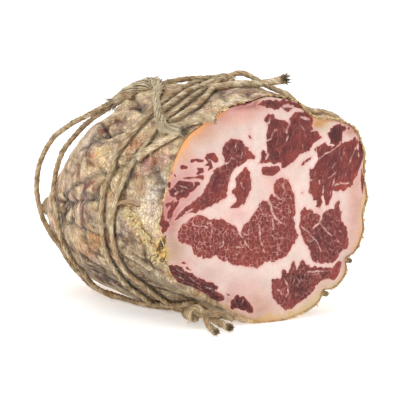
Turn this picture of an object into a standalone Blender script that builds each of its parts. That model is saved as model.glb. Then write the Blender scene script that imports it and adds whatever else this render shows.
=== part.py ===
"""Half a coppa: a dry-cured neck of pork in its casing, cut across and still tied in twine.

The piece lies on its side. The cut face looks along -Y and the tied small end points along +Y.
The origin is the middle of the flat that it rests on, +Z is up, and Blender's unit is the metre.
The sizes below are in millimetres.
"""

import bmesh
import bpy
import numpy as np

MM = 0.001
WELD = 0.00001

# The meat: an uneven cut face, lofted back to a round section that tapers to the small end
LENGTH = 163.0
AXIS_HEIGHT = 52.0
REST_BEHIND_CUT = 68.0

# Outline of the cut as (across, up), clockwise from the top; the dents are where twine pulled in
CUT_OUTLINE = [
    (0, 104), (10, 102.7), (18, 100.6), (23, 95.8), (31, 92.4), (39, 91.8), (46, 89.7), (52, 86.4),
    (55.3, 81), (57.8, 74), (57.6, 64), (59.3, 54), (57, 46.5), (57.5, 39), (54.6, 31.5),
    (49.5, 24.5), (45, 16), (36, 10),
    (25, 3.3), (11, 0), (-4, 0), (-16, 4.2), (-29, 10.4), (-42, 17.6), (-50, 22.4), (-54.4, 30),
    (-56, 38), (-59.2, 48), (-57.6, 55), (-55.5, 64), (-51.5, 76), (-45, 86.5), (-37, 92),
    (-28, 96.5), (-18, 100.8), (-9, 102),
]
BACK_HALF_WIDTH = 57.6
BACK_HALF_HEIGHT = 52.0
BACK_SQUARENESS = 2.12
BLEND_LENGTH = 55.0
TAPER_POWER = 2.6
SWELL_SHARE = 0.076
SWELL_WAVES = 1.6
AXIS_DROP = 56.0
TIP_SHIFT = -8.0
TIP_HEIGHT = 40.0
TIP_BEND_FROM = 0.94
RISE_POWER = 2.0
SHIFT_POWER = 1.6
RIM_ROUNDING = 1.2

# Swellings and hollows: angle in degrees (0 right, 90 up), distance behind the cut,
# share of the radius, and how far it spreads in degrees and in millimetres; they leave the
# cut itself as it is and reach their full size at the fade's distance behind it
SWELLING_FADE = 20.0
SWELLINGS = [
    (-125, 40, -0.10, 28, 55),
    (-138, 32, -0.04, 20, 16),
    (-155, 140, -0.22, 45, 32),
    (133, 68, 0.062, 35, 25),
    (143, 72, 0.045, 9, 12),
    (143, 58, 0.025, 8, 8),
    (152, 100, 0.030, 12, 14),
    (-168, 62, 0.022, 16, 16),
    (-176, 84, -0.050, 10, 12),
    (-148, 72, 0.020, 14, 12),
    (35, 70, 0.030, 25, 30),
    (-15, 95, 0.030, 25, 25),
    (80, 95, 0.025, 20, 20),
]

# Folds of the casing: points as (angle, distance behind the cut), depth and half width
FOLDS = [
    ([(177, 92), (175, 76), (170, 67), (165, 50), (160, 32)], 1.9, 3.2),
    ([(174, 104), (176, 80), (176, 64), (174, 48)], 1.3, 2.8),
    ([(128, 120), (132, 100), (138, 84)], 1.2, 3.5),
    ([(-140, 100), (-146, 78), (-150, 62)], 1.1, 3.0),
    ([(60, 118), (52, 96), (50, 76)], 1.4, 3.5),
    ([(10, 126), (4, 104), (6, 84)], 1.4, 3.5),
    ([(-40, 120), (-38, 98)], 1.2, 3.5),
    ([(-29.3, -6), (-29.3, 5)], 2.7, 3.2),
    ([(-50.2, -6), (-50.2, 5)], 2.7, 3.2),
]

# Two gentle waves of the casing: how many round it, how fast they turn along it, and their share
WAVES = [(5, 0.09, 1.0), (9, -0.16, 0.7)]
WAVE_HEIGHT = 0.45

# Gathered end of the casing
NUB_LENGTH = 13.0
NUB_RADIUS = 3.0
NUB_LEAN = -6.0
NUB_SINK = -3.0
NUB_ROOT = 4.0
NUB_SIDES = 3
NUB_THICKNESS = [1.7, 1.0, 0.85, 0.85, 1.15]

MEAT_COLUMNS = 86
MEAT_ROWS = 21
DOME_ROWS = 11
DOME_FROM = 118.0

# Twine, and the length over which it turns from standing straight out to square to the casing
TWINE_RADIUS = 1.35
GAP = 0.3
LOWEST_TWINE = 1.7
TWINE_SIDES = 2
POINT_SPACING = 7.0
KNOT_SPACING = 3.2
ROPE_SPACING = 9.0
SQUARE_FROM = 146.0
SQUARE_TO = 160.0

# Slots in the resting flat for the bands that pass under the meat
SLOT_RADIUS = 2.5
SLOT_DROP = 0.6

# Each strand's route: angle in degrees, distance behind the cut, clear height over the casing,
# and, where it isn't 1, its thickness as a share of the twine's own
STRANDS = {
    "loop_outer": [
        (120, 64, 0.8), (122.5, 70, 2.2), (125, 78, 2.9), (126, 90, 5.5), (126.5, 103, 8.7),
        (128, 115, 11.7), (130, 125, 13.3), (134, 135, 13.4), (140, 142, 11.4), (150, 146, 7.2),
        (164, 147.5, 3), (180, 147, 1.2), (-168, 143, 0.2), (-152, 136, -0.2), (-138, 129, 0),
        (-127, 121, 0.9), (-119, 110, 1.6), (-116, 96, 1.2), (-115, 82, 0.4), (-115, 67, 0),
        (-114, 50, 0), (-115, 34, 0), (-118, 22, 0),
    ],
    "loop_inner": [
        (121.5, 62, 0.3), (122.5, 72, 0.6), (123.2, 81, 1.8), (123.2, 92, 3.6), (123.6, 100, 4.7),
        (126, 109, 5.1), (130, 117, 5.2), (136, 121, 3.9), (144, 122, 2.1), (155, 120, 0.5),
        (167, 114, 0), (178, 107, 0), (-168, 102, 0), (-156, 100, 0), (-143, 102, 0),
        (-133, 104, 0.6), (-125, 101, 1.8), (-120, 92, 2), (-118, 80, 0.5), (-117, 66, 0),
        (-117, 50, 0), (-118, 34, 0.5), (-120, 20, 0),
    ],
    "band_back": [
        (-118, 57, 0), (-128, 54, 0), (-139, 52, 0), (-151, 47, 0), (-163, 44, 0), (-175, 41, 0),
        (175, 40, 0), (166, 39, 0.2), (157, 38, 0), (147, 34, 0), (137, 32, 0), (128, 33, 0),
        (117, 36, 0), (104, 42, 0), (94, 46, 0.3), (84, 46, 0), (70, 48, 0), (50, 52, 0),
        (28, 54, 0), (5, 54, 0), (-18, 54, 0.2), (-27, 54, 2), (-49, 54, 2), (-60, 55, 0.2),
        (-75, 56, 0), (-90, 57, 0), (-104, 58, 0), (-115, 59, 0),
    ],
    "band_front": [
        (-118, 43, 0), (-127, 44, 0), (-138, 41, 0), (-149, 38, 0), (-160, 36, 0), (-171, 34, 0),
        (178, 31, 0), (169, 28, 0), (161, 25, 0), (153, 21, 0), (145, 19, 0), (137, 20, 0),
        (127, 21, 0), (116, 23, 0), (106, 27, 0), (96, 33, 0.2), (86, 36, 0.4), (72, 35, 0),
        (50, 36, 0), (28, 37, 0), (5, 38, 0), (-18, 38, 0.2), (-27, 38, 2), (-49, 38, 2),
        (-60, 39, 0.2), (-75, 40, 0), (-90, 41, 0), (-104, 43, 0), (-115, 44, 0),
    ],
    "top_far": [(114, 60, 0.5), (106, 57, 0.7), (100, 53, 1.2), (94, 48, 1.6), (88, 43, 1.6), (84, 38, 1.2)],
    "top_near": [(131, 27, 0.5), (121, 28, 0.2), (112, 31, 0), (103, 34, 0), (94, 36, 1), (86, 37, 1)],
    "top_rim": [
        (137, 14, 0.5), (129, 14, 0), (120, 14, 0), (111, 18, 0), (100, 27, 0.2), (90, 34, 1.8),
        (85, 33, 3.6), (82, 31, 4.6), (79, 28, 3.8), (76, 24, 1.8), (73, 17, 0.3), (69, 11, 0),
        (60, 9, 0.2), (42, 11, 0.3), (20, 14, 0.3), (0, 16, 0.5), (-18, 18, 0.3), (-27, 19, 2), (-50, 20, 2),
        (-60, 21, 0.2), (-72, 22, 0), (-86, 23, 0), (-100, 24, 0), (-112, 24, 0),
    ],
    "top_end": [
        (104, 27, 0.5, 1.1), (96, 24, 0.2, 1.2), (88, 21, 0, 1.3), (81, 20, 0.4, 1.3),
        (77, 16, 2.2, 1.35), (75.5, 11, 4, 1.45), (75, 8, 5, 1.6),
    ],
    "side_end": [
        (140, 13, 0.4), (137.2, 7.5, 0.1, 1.1), (134.8, 4, 0, 1.2), (132.4, 1.8, 0, 1.25),
        (130.2, -0.2, 0, 1.3), (128.4, -1.9, -0.9, 1.35), (126.3, -2.6, -2.6, 1.4),
    ],
    "cheek_end": [
        (141, 3, 0.6, 1.1), (144, 6, 0.2, 1.1), (148, 11, 0, 1.2), (153, 17, 0, 1.3), (156, 20, 0, 1.4),
    ],
    "rope_upper": [
        (-29.3, -0.5, 0.2), (-29.2, 5, 0.3), (-29, 9, 0.4), (-28, 24, 0), (-26, 42, 0), (-24, 62, 0), (-21, 84, 0),
        (-16, 106, 0), (-8, 126, 0.2), (4, 142, 0.4), (20, 152, 0.4), (45, 159, 0.5), (90, 161, 0),
    ],
    "rope_lower": [
        (-50.2, -0.5, 0.2), (-50, 5, 0.3), (-49.6, 9, 0.4), (-48, 24, 0), (-48, 42, 0), (-49, 62, 0), (-51, 84, 0),
        (-54, 106, 0), (-60, 126, 0.2), (-70, 142, 0.4), (-84, 152, 0.2), (-110, 158, 0.3), (-150, 161, 0),
    ],
    "rope_top": [
        (85, 44, 1), (79, 56, 0.3), (72, 72, 0), (66, 90, 0), (62, 108, 0), (62, 126, 0.2),
        (66, 142, 0.4), (76, 153, 0.4), (95, 159, 1), (128, 161, 1.2),
    ],
}

# The two bands are pulled tight, which makes them thinner
BAND_SHARE = 0.85
for band in ("band_back", "band_front"):
    STRANDS[band] = [(*row, BAND_SHARE) for row in STRANDS[band]]

# The unravelled bundle that ties the strands on top, and the knots; last number is thickness
BUNDLES = {
    "top_bundle": [
        (125, 72, 1.5, 1.3), (120, 68, 1, 2.0), (115, 65, 0.5, 2.3), (111, 61, 0.2, 2.3), (111, 56, 0, 2.1),
        (115, 49, 0.2, 1.4), (122, 41, 0.5, 1.25), (129, 31, 0.8, 1.2), (135, 22.5, 0.6, 1.3),
        (139, 16, 0.4, 1.5), (141, 11, 0.2, 1.8), (141, 5.5, 0, 1.7), (140, 2.5, 0, 1.4),
    ],
    "crossing_knot": [(91, 41, 0, 1.5), (89, 36, 0.3, 1.9), (89, 30, 0, 1.8), (91, 25, 0, 1.3)],
}

# Strands that lie on the table under the cut's lower edge: (across, behind the cut, up, thickness)
FLOOR_STRANDS = {
    "lower_knot": [
        (-21, 34, 2.6, 1.3), (-25, 26, 3.2, 1.7), (-30.3, 19, 4.4, 1.9), (-33.4, 12, 4.8, 1.8),
        (-34, 7, 4.2, 1.5),
    ],
    "lower_end_long": [
        (-33.8, 8, 3.8, 1.2), (-38.5, 5, 5.1, 1.1), (-40.4, 3.5, 8.0, 1.1), (-39.1, 3, 9.6, 1.1),
        (-36.8, 2, 10.0, 1.1), (-34.8, 1, 8.5, 1.1), (-34.5, -1, 6.0, 1.1), (-35.7, -5, 3.5, 1.15),
        (-37.8, -11, 2.4, 1.2), (-40.6, -18, 2.3, 1.35),
    ],
    "lower_end_short": [
        (-32, 12, 5.0, 1.2), (-29.2, 6, 5.2, 1.2), (-28.7, 0, 4.0, 1.25), (-28.7, -6, 2.9, 1.35),
        (-30.0, -13.8, 2.6, 1.5),
    ],
    "lower_end_inner": [
        (-33.4, 10, 5.0, 1.2), (-32.8, 4, 7.4, 1.2), (-30.8, -1.5, 7.3, 1.2), (-26.6, -3, 6.2, 1.2),
        (-22.0, -3.5, 4.9, 1.2),
    ],
}

# The turn of twine round the gathered tip: its share along it, and how its ends overlap
NUB_TURN_AT = 0.7
TURN_POINTS = 13
TURN_OVERLAP = 1.02

# Strands that end at those turns, and the share along the tip where they meet them
TIP_STRANDS = {"rope_upper": 0.72, "rope_lower": 0.72, "rope_top": 0.68}

# Strands whose stretch under the flat lies in a slot
SLOT_STRANDS = ["band_back", "band_front", "top_rim"]
SLOT_ANGLES = (-116, -50)

MEAT_COLOUR = (0.42, 0.30, 0.20)
TWINE_COLOUR = (0.47, 0.38, 0.25)


def wrapped(degrees):
    return (degrees + 180) % 360 - 180


def smooth_path(points, closed=False, per_span=10):
    """A Catmull-Rom curve through the points, any number of values to a point."""
    p = np.array(points, float)
    count = len(p)
    spans = count if closed else count - 1
    curve = []
    for i in range(spans):
        if closed:
            a, b, c, d = p[i - 1], p[i], p[(i + 1) % count], p[(i + 2) % count]
        else:
            a, b, c, d = p[max(i - 1, 0)], p[i], p[i + 1], p[min(i + 2, count - 1)]
        for u in np.arange(per_span) / per_span:
            bend = (2 * a - 5 * b + 4 * c - d) * u**2 + (3 * b - 3 * c + d - a) * u**3
            curve.append(0.5 * (2 * b + (c - a) * u + bend))
    if not closed:
        curve.append(p[-1])
    return np.array(curve)


def evenly_spaced(curve, spacing):
    """Points a near-equal length apart along the first three values of the curve."""
    steps = np.linalg.norm(np.diff(curve[:, :3], axis=0), axis=1)
    along = np.concatenate([[0], np.cumsum(steps)])
    count = max(3, round(along[-1] / spacing) + 1)
    at = np.linspace(0, along[-1], count)
    return np.stack([np.interp(at, along, column) for column in curve.T], axis=1)


def outline_table():
    curve = smooth_path(CUT_OUTLINE, closed=True)
    up = curve[:, 1] - AXIS_HEIGHT
    angles = np.arctan2(up, curve[:, 0])
    order = np.argsort(angles)
    return angles[order], np.hypot(curve[:, 0], up)[order]


OUTLINE_ANGLES, OUTLINE_RADII = outline_table()


def cut_radius(angle):
    return np.interp(angle, OUTLINE_ANGLES, OUTLINE_RADII, period=2 * np.pi)


def back_radius(angle):
    across = (np.abs(np.cos(angle)) / BACK_HALF_WIDTH) ** BACK_SQUARENESS
    up = (np.abs(np.sin(angle)) / BACK_HALF_HEIGHT) ** BACK_SQUARENESS
    return (across + up) ** (-1 / BACK_SQUARENESS)


def taper(behind):
    """The section's size as a share of the full one."""
    share = np.clip(behind / LENGTH, 0, 1)
    return np.sqrt(1 - share**TAPER_POWER)


def axis_at(behind):
    """The section's middle: it drops as the piece tapers, and bends up into the tied tip."""
    size = taper(behind)
    bend = np.clip(1 - size / TIP_BEND_FROM, 0, 1)
    low_end = AXIS_HEIGHT - AXIS_DROP
    up = AXIS_HEIGHT - AXIS_DROP * (1 - size) + (TIP_HEIGHT - low_end) * bend**RISE_POWER
    return TIP_SHIFT * bend**SHIFT_POWER, up


def fold_depth(degrees, behind, radius):
    """How far the folds pull the casing in at each place."""
    depth = np.zeros(np.broadcast(degrees, behind).shape)
    for points, deep, half_width in FOLDS:
        nearest = np.full(depth.shape, 1e6)
        for (a0, b0), (a1, b1) in zip(points[:-1], points[1:]):
            run = np.radians(wrapped(a1 - a0)) * radius
            x = np.radians(wrapped(degrees - a0)) * radius
            y = behind - b0
            length2 = run**2 + (b1 - b0) ** 2
            share = np.clip((x * run + y * (b1 - b0)) / np.maximum(length2, 1e-9), 0, 1)
            gap = np.hypot(x - share * run, y - share * (b1 - b0))
            nearest = np.minimum(nearest, gap)
        depth = np.maximum(depth, deep * np.exp(-((nearest / half_width) ** 2)))
    return depth


def radius_at(angle, behind):
    """The casing's distance from the axis, for an angle in radians."""
    blend = np.clip(behind / BLEND_LENGTH, 0, 1)
    blend = blend**2 * (3 - 2 * blend)
    radius = cut_radius(angle) * (1 - blend) + back_radius(angle) * blend
    share = np.clip(behind / LENGTH, 0, 1)
    swell = 1 + SWELL_SHARE * np.sin(np.pi * np.minimum(1, SWELL_WAVES * share))
    size = taper(behind)
    degrees = np.degrees(angle)
    form = 0.0
    for at, where, amount, spread, reach in SWELLINGS:
        form = form + amount * np.exp(
            -((wrapped(degrees - at) / spread) ** 2) - ((behind - where) / reach) ** 2
        )
    fade = np.clip(behind / SWELLING_FADE, 0, 1)
    radius = radius * size * swell * (1 + form * fade**2 * (3 - 2 * fade))
    waves = sum(part * np.sin(count * angle + behind * turn) for count, turn, part in WAVES)
    waves = WAVE_HEIGHT * waves * blend * size
    return radius + waves - fold_depth(degrees, behind, radius) * size


def meat_point(angle, behind, inset=0.0):
    """Places on the casing, for angles in radians, drawn in by the inset."""
    angle, behind = np.broadcast_arrays(np.asarray(angle, float), np.asarray(behind, float))
    radius = radius_at(angle, behind) - inset
    across, up = axis_at(behind)
    height = np.maximum(up + radius * np.sin(angle), 0)
    return np.stack([across + radius * np.cos(angle), behind, height], axis=-1)


def outward(angle, behind):
    """The direction in which twine stands off: straight out, and square to the casing near the tip."""
    turn, step = 0.02, 0.4
    near = np.clip(behind - step, 0, LENGTH - 2 * step)
    far = np.clip(behind + step, 2 * step, LENGTH)
    around = meat_point(angle + turn, behind) - meat_point(angle - turn, behind)
    along = meat_point(angle, far) - meat_point(angle, near)
    normal = np.cross(along, around)
    normal /= np.linalg.norm(normal, axis=-1, keepdims=True)
    straight = np.stack([np.cos(angle), 0 * angle, np.sin(angle)], axis=-1)
    share = np.clip((behind - SQUARE_FROM) / (SQUARE_TO - SQUARE_FROM), 0, 1)[:, None]
    mixed = straight * (1 - share) + normal * share
    return mixed / np.linalg.norm(mixed, axis=-1, keepdims=True)


def twine_point(route):
    """Places of a strand's middle, from (angle, behind, clear height, thickness) rows."""
    angle = np.radians(route[:, 0])
    inside = np.clip(route[:, 1], 0, LENGTH - GAP)
    thick = route[:, 3]
    radius = radius_at(angle, inside) + route[:, 2]
    across, up = axis_at(inside)
    place = np.stack([across + radius * np.cos(angle), route[:, 1], up + radius * np.sin(angle)], axis=1)
    place += outward(angle, inside) * (GAP + TWINE_RADIUS * thick)[:, None]
    place[:, 2] = np.maximum(place[:, 2], LOWEST_TWINE + TWINE_RADIUS * (thick - 1))
    return np.column_stack([place, thick])


def full_rows(route):
    rows = [tuple(row) + (1,) * (4 - len(row)) for row in route]
    unwound = np.array(rows, float)
    unwound[:, 0] = np.degrees(np.unwrap(np.radians(unwound[:, 0])))
    return unwound


def in_model(points):
    """Millimetres from the cut to metres from the origin."""
    moved = np.array(points, float)
    moved[..., 1] -= REST_BEHIND_CUT
    return moved * MM


def new_collection(name):
    collection = bpy.data.collections.new(name)
    bpy.context.scene.collection.children.link(collection)
    return collection


def new_material(name, colour, roughness):
    material = bpy.data.materials.new(name)
    material.use_nodes = True
    shader = material.node_tree.nodes["Principled BSDF"]
    shader.inputs["Base Color"].default_value = (*colour, 1)
    shader.inputs["Roughness"].default_value = roughness
    material.diffuse_color = (*colour, 1)
    return material


def add_object(name, mesh, collection):
    added = bpy.data.objects.new(name, mesh)
    collection.objects.link(added)
    return added


def evaluated_copy(source):
    bpy.context.view_layer.update()
    graph = bpy.context.evaluated_depsgraph_get()
    return bpy.data.meshes.new_from_object(source.evaluated_get(graph))


def apply_boolean(target, operation, operands, solver):
    """One Boolean with a collection of objects, applied, and those objects removed."""
    modifier = target.modifiers.new(operation.lower(), "BOOLEAN")
    modifier.operation = operation
    modifier.operand_type = "COLLECTION"
    modifier.collection = operands
    modifier.solver = solver
    mesh = evaluated_copy(target)
    target.modifiers.clear()
    target.data = mesh
    for operand in list(operands.objects):
        bpy.data.objects.remove(operand)


def lofted_meat(collection):
    """Rings of points from the cut to the tip, skinned with quads, flat at the cut."""
    straight = np.linspace(RIM_ROUNDING, DOME_FROM, MEAT_ROWS)
    start = np.arcsin(DOME_FROM / LENGTH)
    dome = LENGTH * np.sin(np.linspace(start, np.pi / 2, DOME_ROWS + 2)[1:-1])
    rows = np.concatenate([[0], straight, dome])
    insets = np.where(rows == 0, RIM_ROUNDING, 0.0)
    angles = np.linspace(0, 2 * np.pi, MEAT_COLUMNS, endpoint=False)
    grid = in_model(meat_point(angles[None, :], rows[:, None], insets[:, None]))
    tip = in_model([TIP_SHIFT, LENGTH, TIP_HEIGHT])
    shape = bmesh.new()
    rings = [[shape.verts.new(point) for point in ring] for ring in grid]
    for near, far in zip(rings[:-1], rings[1:]):
        for i in range(MEAT_COLUMNS):
            j = (i + 1) % MEAT_COLUMNS
            shape.faces.new((near[i], near[j], far[j], far[i]))
    shape.faces.new(list(reversed(rings[0])))
    end = shape.verts.new(tip)
    for i in range(MEAT_COLUMNS):
        shape.faces.new((rings[-1][i], rings[-1][(i + 1) % MEAT_COLUMNS], end))
    bmesh.ops.recalc_face_normals(shape, faces=shape.faces)
    mesh = bpy.data.meshes.new("meat")
    shape.to_mesh(mesh)
    shape.free()
    return add_object("meat", mesh, collection)


def tube(name, points, collection, radius=TWINE_RADIUS, sides=TWINE_SIDES):
    """A capped tube along (x, y, z, thickness) rows in millimetres, as a closed mesh."""
    data = bpy.data.curves.new(name, "CURVE")
    data.dimensions = "3D"
    data.bevel_depth = radius * MM
    data.bevel_resolution = sides
    data.use_fill_caps = True
    spline = data.splines.new("POLY")
    spline.points.add(len(points) - 1)
    for place, row in zip(spline.points, points):
        place.co = (*in_model(row[:3]), 1)
        place.radius = row[3]
    curve = add_object(name + "_line", data, collection)
    mesh = evaluated_copy(curve)
    matrix = curve.matrix_world.copy()
    bpy.data.objects.remove(curve)
    shape = bmesh.new()
    shape.from_mesh(mesh)
    bmesh.ops.remove_doubles(shape, verts=shape.verts, dist=WELD)
    bmesh.ops.recalc_face_normals(shape, faces=shape.faces)
    shape.to_mesh(mesh)
    shape.free()
    made = add_object(name, mesh, collection)
    made.matrix_world = matrix
    return made


def strand_points(name, route):
    """A strand's places, carried on to the turns round the tip where it ends there."""
    curve = twine_point(smooth_path(full_rows(route)))
    if name in TIP_STRANDS:
        middle = nub_point(TIP_STRANDS[name])
        aside = curve[-1, :3] - middle
        aside -= NUB_AXIS * (aside @ NUB_AXIS)
        aside /= np.linalg.norm(aside)
        end = np.append(middle + aside * (NUB_RADIUS + TWINE_RADIUS), 1)
        curve = np.vstack([curve, end])
    return evenly_spaced(curve, ROPE_SPACING if name.startswith("rope") else POINT_SPACING)


NUB_REACH = np.array([NUB_LEAN, NUB_LENGTH, NUB_SINK])
NUB_AXIS = NUB_REACH / np.linalg.norm(NUB_REACH)


def nub_point(share):
    """Places along the middle of the gathered tip."""
    start = np.array([TIP_SHIFT, LENGTH - NUB_ROOT, TIP_HEIGHT])
    return start + np.multiply.outer(np.asarray(share, float), NUB_REACH)


def build_nub(collection):
    """The gathered casing at the tip, a short blunt neck that leans aside."""
    places = nub_point(np.linspace(0, 1, len(NUB_THICKNESS)))
    return tube("nub", np.column_stack([places, NUB_THICKNESS]), collection, NUB_RADIUS, NUB_SIDES)


def nub_turn():
    """A closed turn of twine round the nub, with its ends overlapped to fuse."""
    side = np.cross(NUB_AXIS, [0, 0, 1])
    side /= np.linalg.norm(side)
    over = np.cross(side, NUB_AXIS)
    radius = NUB_RADIUS + TWINE_RADIUS
    angle = np.linspace(0, 2 * np.pi * TURN_OVERLAP, TURN_POINTS)[:, None]
    places = nub_point(NUB_TURN_AT) + radius * (np.cos(angle) * side + np.sin(angle) * over)
    return np.column_stack([places, np.ones(len(places))])


def build_slots(collection):
    """Slots in the resting flat for the bands that pass under the meat."""
    for name in SLOT_STRANDS:
        rows = smooth_path(full_rows(STRANDS[name]))
        degrees = wrapped(rows[:, 0])
        inside = (degrees > SLOT_ANGLES[0]) & (degrees < SLOT_ANGLES[1])
        points = evenly_spaced(twine_point(rows[inside]), POINT_SPACING)
        points[:, 2] -= SLOT_DROP
        cutter = tube("slot_" + name, points, collection, SLOT_RADIUS)
        cutter.hide_render = True
        cutter.display_type = "WIRE"


def build_meat(collection, cutters):
    meat = lofted_meat(collection)
    gathered = new_collection("coppa_nub")
    build_nub(gathered)
    apply_boolean(meat, "UNION", gathered, "EXACT")
    bpy.data.collections.remove(gathered)
    build_slots(cutters)
    apply_boolean(meat, "DIFFERENCE", cutters, "EXACT")
    meat.data.materials.clear()
    meat.data.materials.append(new_material("casing", MEAT_COLOUR, 0.7))
    meat.data.shade_smooth()
    meat.data.set_sharp_from_angle(angle=np.radians(40))
    return meat


def build_twine(collection):
    """Every strand as a tube, fused into the one tied string."""
    tied = new_collection("coppa_strands")
    for name, route in {**STRANDS, **BUNDLES}.items():
        tube(name, strand_points(name, route), tied)
    for name, route in FLOOR_STRANDS.items():
        tube(name, evenly_spaced(smooth_path(route), KNOT_SPACING), tied)
    tube("nub_turn", nub_turn(), tied)
    first = tied.objects[0]
    tied.objects.unlink(first)
    collection.objects.link(first)
    apply_boolean(first, "UNION", tied, "MANIFOLD")
    bpy.data.collections.remove(tied)
    first.name = "twine"
    first.data.name = "twine"
    first.data.materials.clear()
    first.data.materials.append(new_material("twine", TWINE_COLOUR, 0.9))
    first.data.shade_smooth()
    first.data.set_sharp_from_angle(angle=np.radians(50))
    return first


def main():
    for existing in list(bpy.data.objects):
        bpy.data.objects.remove(existing)
    parts = new_collection("coppa")
    cutters = new_collection("coppa_cutters")
    build_meat(parts, cutters)
    build_twine(parts)


main()
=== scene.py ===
# %% [markdown]
# # The cut half of a coppa
#
# A coppa is the neck muscle of a pig, salted, pushed into natural casing, tied in twine and dried for
# months. Here it has been cut across and lies on its side, so one picture holds two very different
# surfaces: a moist, marbled cut in front, and a dry, wrinkled, mould-flecked casing behind.
#
# The plan is to build both from the same few formulas that made the solid, so the two agree to a
# millimetre or two, and then to give each surface its own fine mesh and its own material.

import bpy
import numpy as np
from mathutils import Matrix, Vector
from mathutils.kdtree import KDTree


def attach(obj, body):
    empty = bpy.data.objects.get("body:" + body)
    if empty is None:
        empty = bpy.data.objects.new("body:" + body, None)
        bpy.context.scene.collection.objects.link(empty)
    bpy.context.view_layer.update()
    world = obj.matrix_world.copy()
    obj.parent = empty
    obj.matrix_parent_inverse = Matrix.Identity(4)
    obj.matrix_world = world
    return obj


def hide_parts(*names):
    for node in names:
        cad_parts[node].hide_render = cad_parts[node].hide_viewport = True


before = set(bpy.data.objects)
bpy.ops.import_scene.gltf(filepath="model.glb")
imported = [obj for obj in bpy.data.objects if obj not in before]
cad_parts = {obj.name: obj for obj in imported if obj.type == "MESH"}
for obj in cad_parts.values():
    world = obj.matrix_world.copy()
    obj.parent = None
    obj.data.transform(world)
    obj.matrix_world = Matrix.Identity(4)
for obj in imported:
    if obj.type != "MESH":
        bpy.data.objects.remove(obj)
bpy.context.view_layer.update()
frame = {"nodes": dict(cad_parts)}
MM = 0.001
print("solids:", sorted(frame["nodes"]))

# %% [markdown]
# ## The view
#
# The cut is seen from one metre off, 35 degrees round to its left and a little from above. A long lens
# keeps the far end nearly as large as the near end, as in a catalogue picture. The camera is pointed with
# a quaternion that turns its -Z axis on to the target, which avoids working out three angles by hand.

# %% Camera
CAMERA_PLACE = (-606.439, -881.886, 171.941)
CAMERA_TARGET = (-36.549, -68.0, 58.737)
LENS = 202.391
SENSOR_WIDTH = 36.0
NEAR_CLIP = 0.05

lens_data = bpy.data.cameras.new("long_lens")
lens_data.lens = LENS
lens_data.sensor_width = SENSOR_WIDTH
lens_data.clip_start = NEAR_CLIP
camera = bpy.data.objects.new("camera", lens_data)
bpy.context.collection.objects.link(camera)
camera.location = Vector(CAMERA_PLACE) * MM
sight = (Vector(CAMERA_TARGET) - Vector(CAMERA_PLACE)).normalized()
camera.rotation_euler = sight.to_track_quat("-Z", "Y").to_euler()
bpy.context.scene.camera = camera
print("camera", round((Vector(CAMERA_TARGET) - Vector(CAMERA_PLACE)).length), "mm away")

# %% [markdown]
# ## The table and the light
#
# The piece lies on plain white, and its shadow is soft, pale and close. That is what a white sky, one large
# lamp high on the left, a weaker one in front on the right and a table that glows a little give. The standard
# view keeps colours as they are painted, so a fat that is painted cream comes out cream, and the white of the
# table stays white.

# %% Table and light
SKY_STRENGTH = 0.90
TABLE_GLOW = 0.42
WHITE = (1.0, 1.0, 1.0, 1)
# Each lamp: its place and size in millimetres, and its watts
LAMPS = {
    "key_lamp": ((-700, -500, 1100), 600, 2.7),
    "front_lamp": ((500, -1300, 500), 700, 1.0),
}
LAMP_AIM = (0, 0, 50)
bpy.context.scene.view_settings.view_transform = "Standard"

sky = bpy.data.worlds.new("white_sky")
sky.use_nodes = True
sky.node_tree.nodes["Background"].inputs["Color"].default_value = WHITE
sky.node_tree.nodes["Background"].inputs["Strength"].default_value = SKY_STRENGTH
bpy.context.scene.world = sky


def add_lamp(name, place, size, watts):
    """A square lamp at a place in millimetres, turned towards the middle of the piece."""
    data = bpy.data.lights.new(name, "AREA")
    data.size = size * MM
    data.energy = watts
    lamp = bpy.data.objects.new(name, data)
    bpy.context.collection.objects.link(lamp)
    lamp.location = Vector(place) * MM
    beam = Vector(LAMP_AIM) - Vector(place)
    lamp.rotation_euler = beam.to_track_quat("-Z", "Y").to_euler()


for lamp_name, (place, size, watts) in LAMPS.items():
    add_lamp(lamp_name, place, size, watts)
print("lamps", len(LAMPS))

# %% [markdown]
# ## Shared helpers
#
# Everything that is drawn here is a grid of points: the casing is a grid of rings, the cut is a grid of
# rings that shrink to a point, and a strand of twine is a grid of small circles. Two helpers turn such a
# grid into a mesh. Another gives smooth random values, which stand for everything in meat that has no rule.

# %% Grids and noise
LATTICE_SEED = 41
LATTICE = np.random.default_rng(LATTICE_SEED).random((24, 24, 24))
SHIFT_STEP = 3.7


def eased(share):
    """A share from 0 to 1 that starts and ends gently."""
    return share**2 * (3 - 2 * share)


def soft_noise(places, cell, shift=0.0):
    """Smooth random values from -1 to 1 at places in millimetres, with lumps the size of a cell."""
    scaled = np.asarray(places, float) / cell + SHIFT_STEP * shift
    base = np.floor(scaled).astype(int)
    part = eased(scaled - base)
    total = 0
    for corner in np.ndindex(2, 2, 2):
        picked = (base + corner) % len(LATTICE)
        weight = np.prod(np.where(corner, part, 1 - part), axis=-1)
        total = total + weight * LATTICE[picked[..., 0], picked[..., 1], picked[..., 2]]
    return 2 * total - 1


def paint(mesh, name, values):
    """Stores a number, or a colour of three numbers, at every point of the mesh."""
    values = np.asarray(values, np.float32)
    if values.ndim > 1:
        colours = np.column_stack([values, np.ones(len(values), np.float32)])
        layer = mesh.attributes.new(name, "FLOAT_COLOR", "POINT")
        layer.data.foreach_set("color", colours.ravel())
    else:
        layer = mesh.attributes.new(name, "FLOAT", "POINT")
        layer.data.foreach_set("value", values)


def add_piece(name, points, faces, node):
    """A smooth mesh from points in millimetres; it stands for a node and rides on the body."""
    mesh = bpy.data.meshes.new(name)
    mesh.from_pydata((np.asarray(points) * MM).tolist(), [], faces)
    mesh.validate()
    mesh.shade_smooth()
    piece = bpy.data.objects.new(name, mesh)
    bpy.context.collection.objects.link(piece)
    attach(piece, "root")
    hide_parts(node)
    return piece


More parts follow.
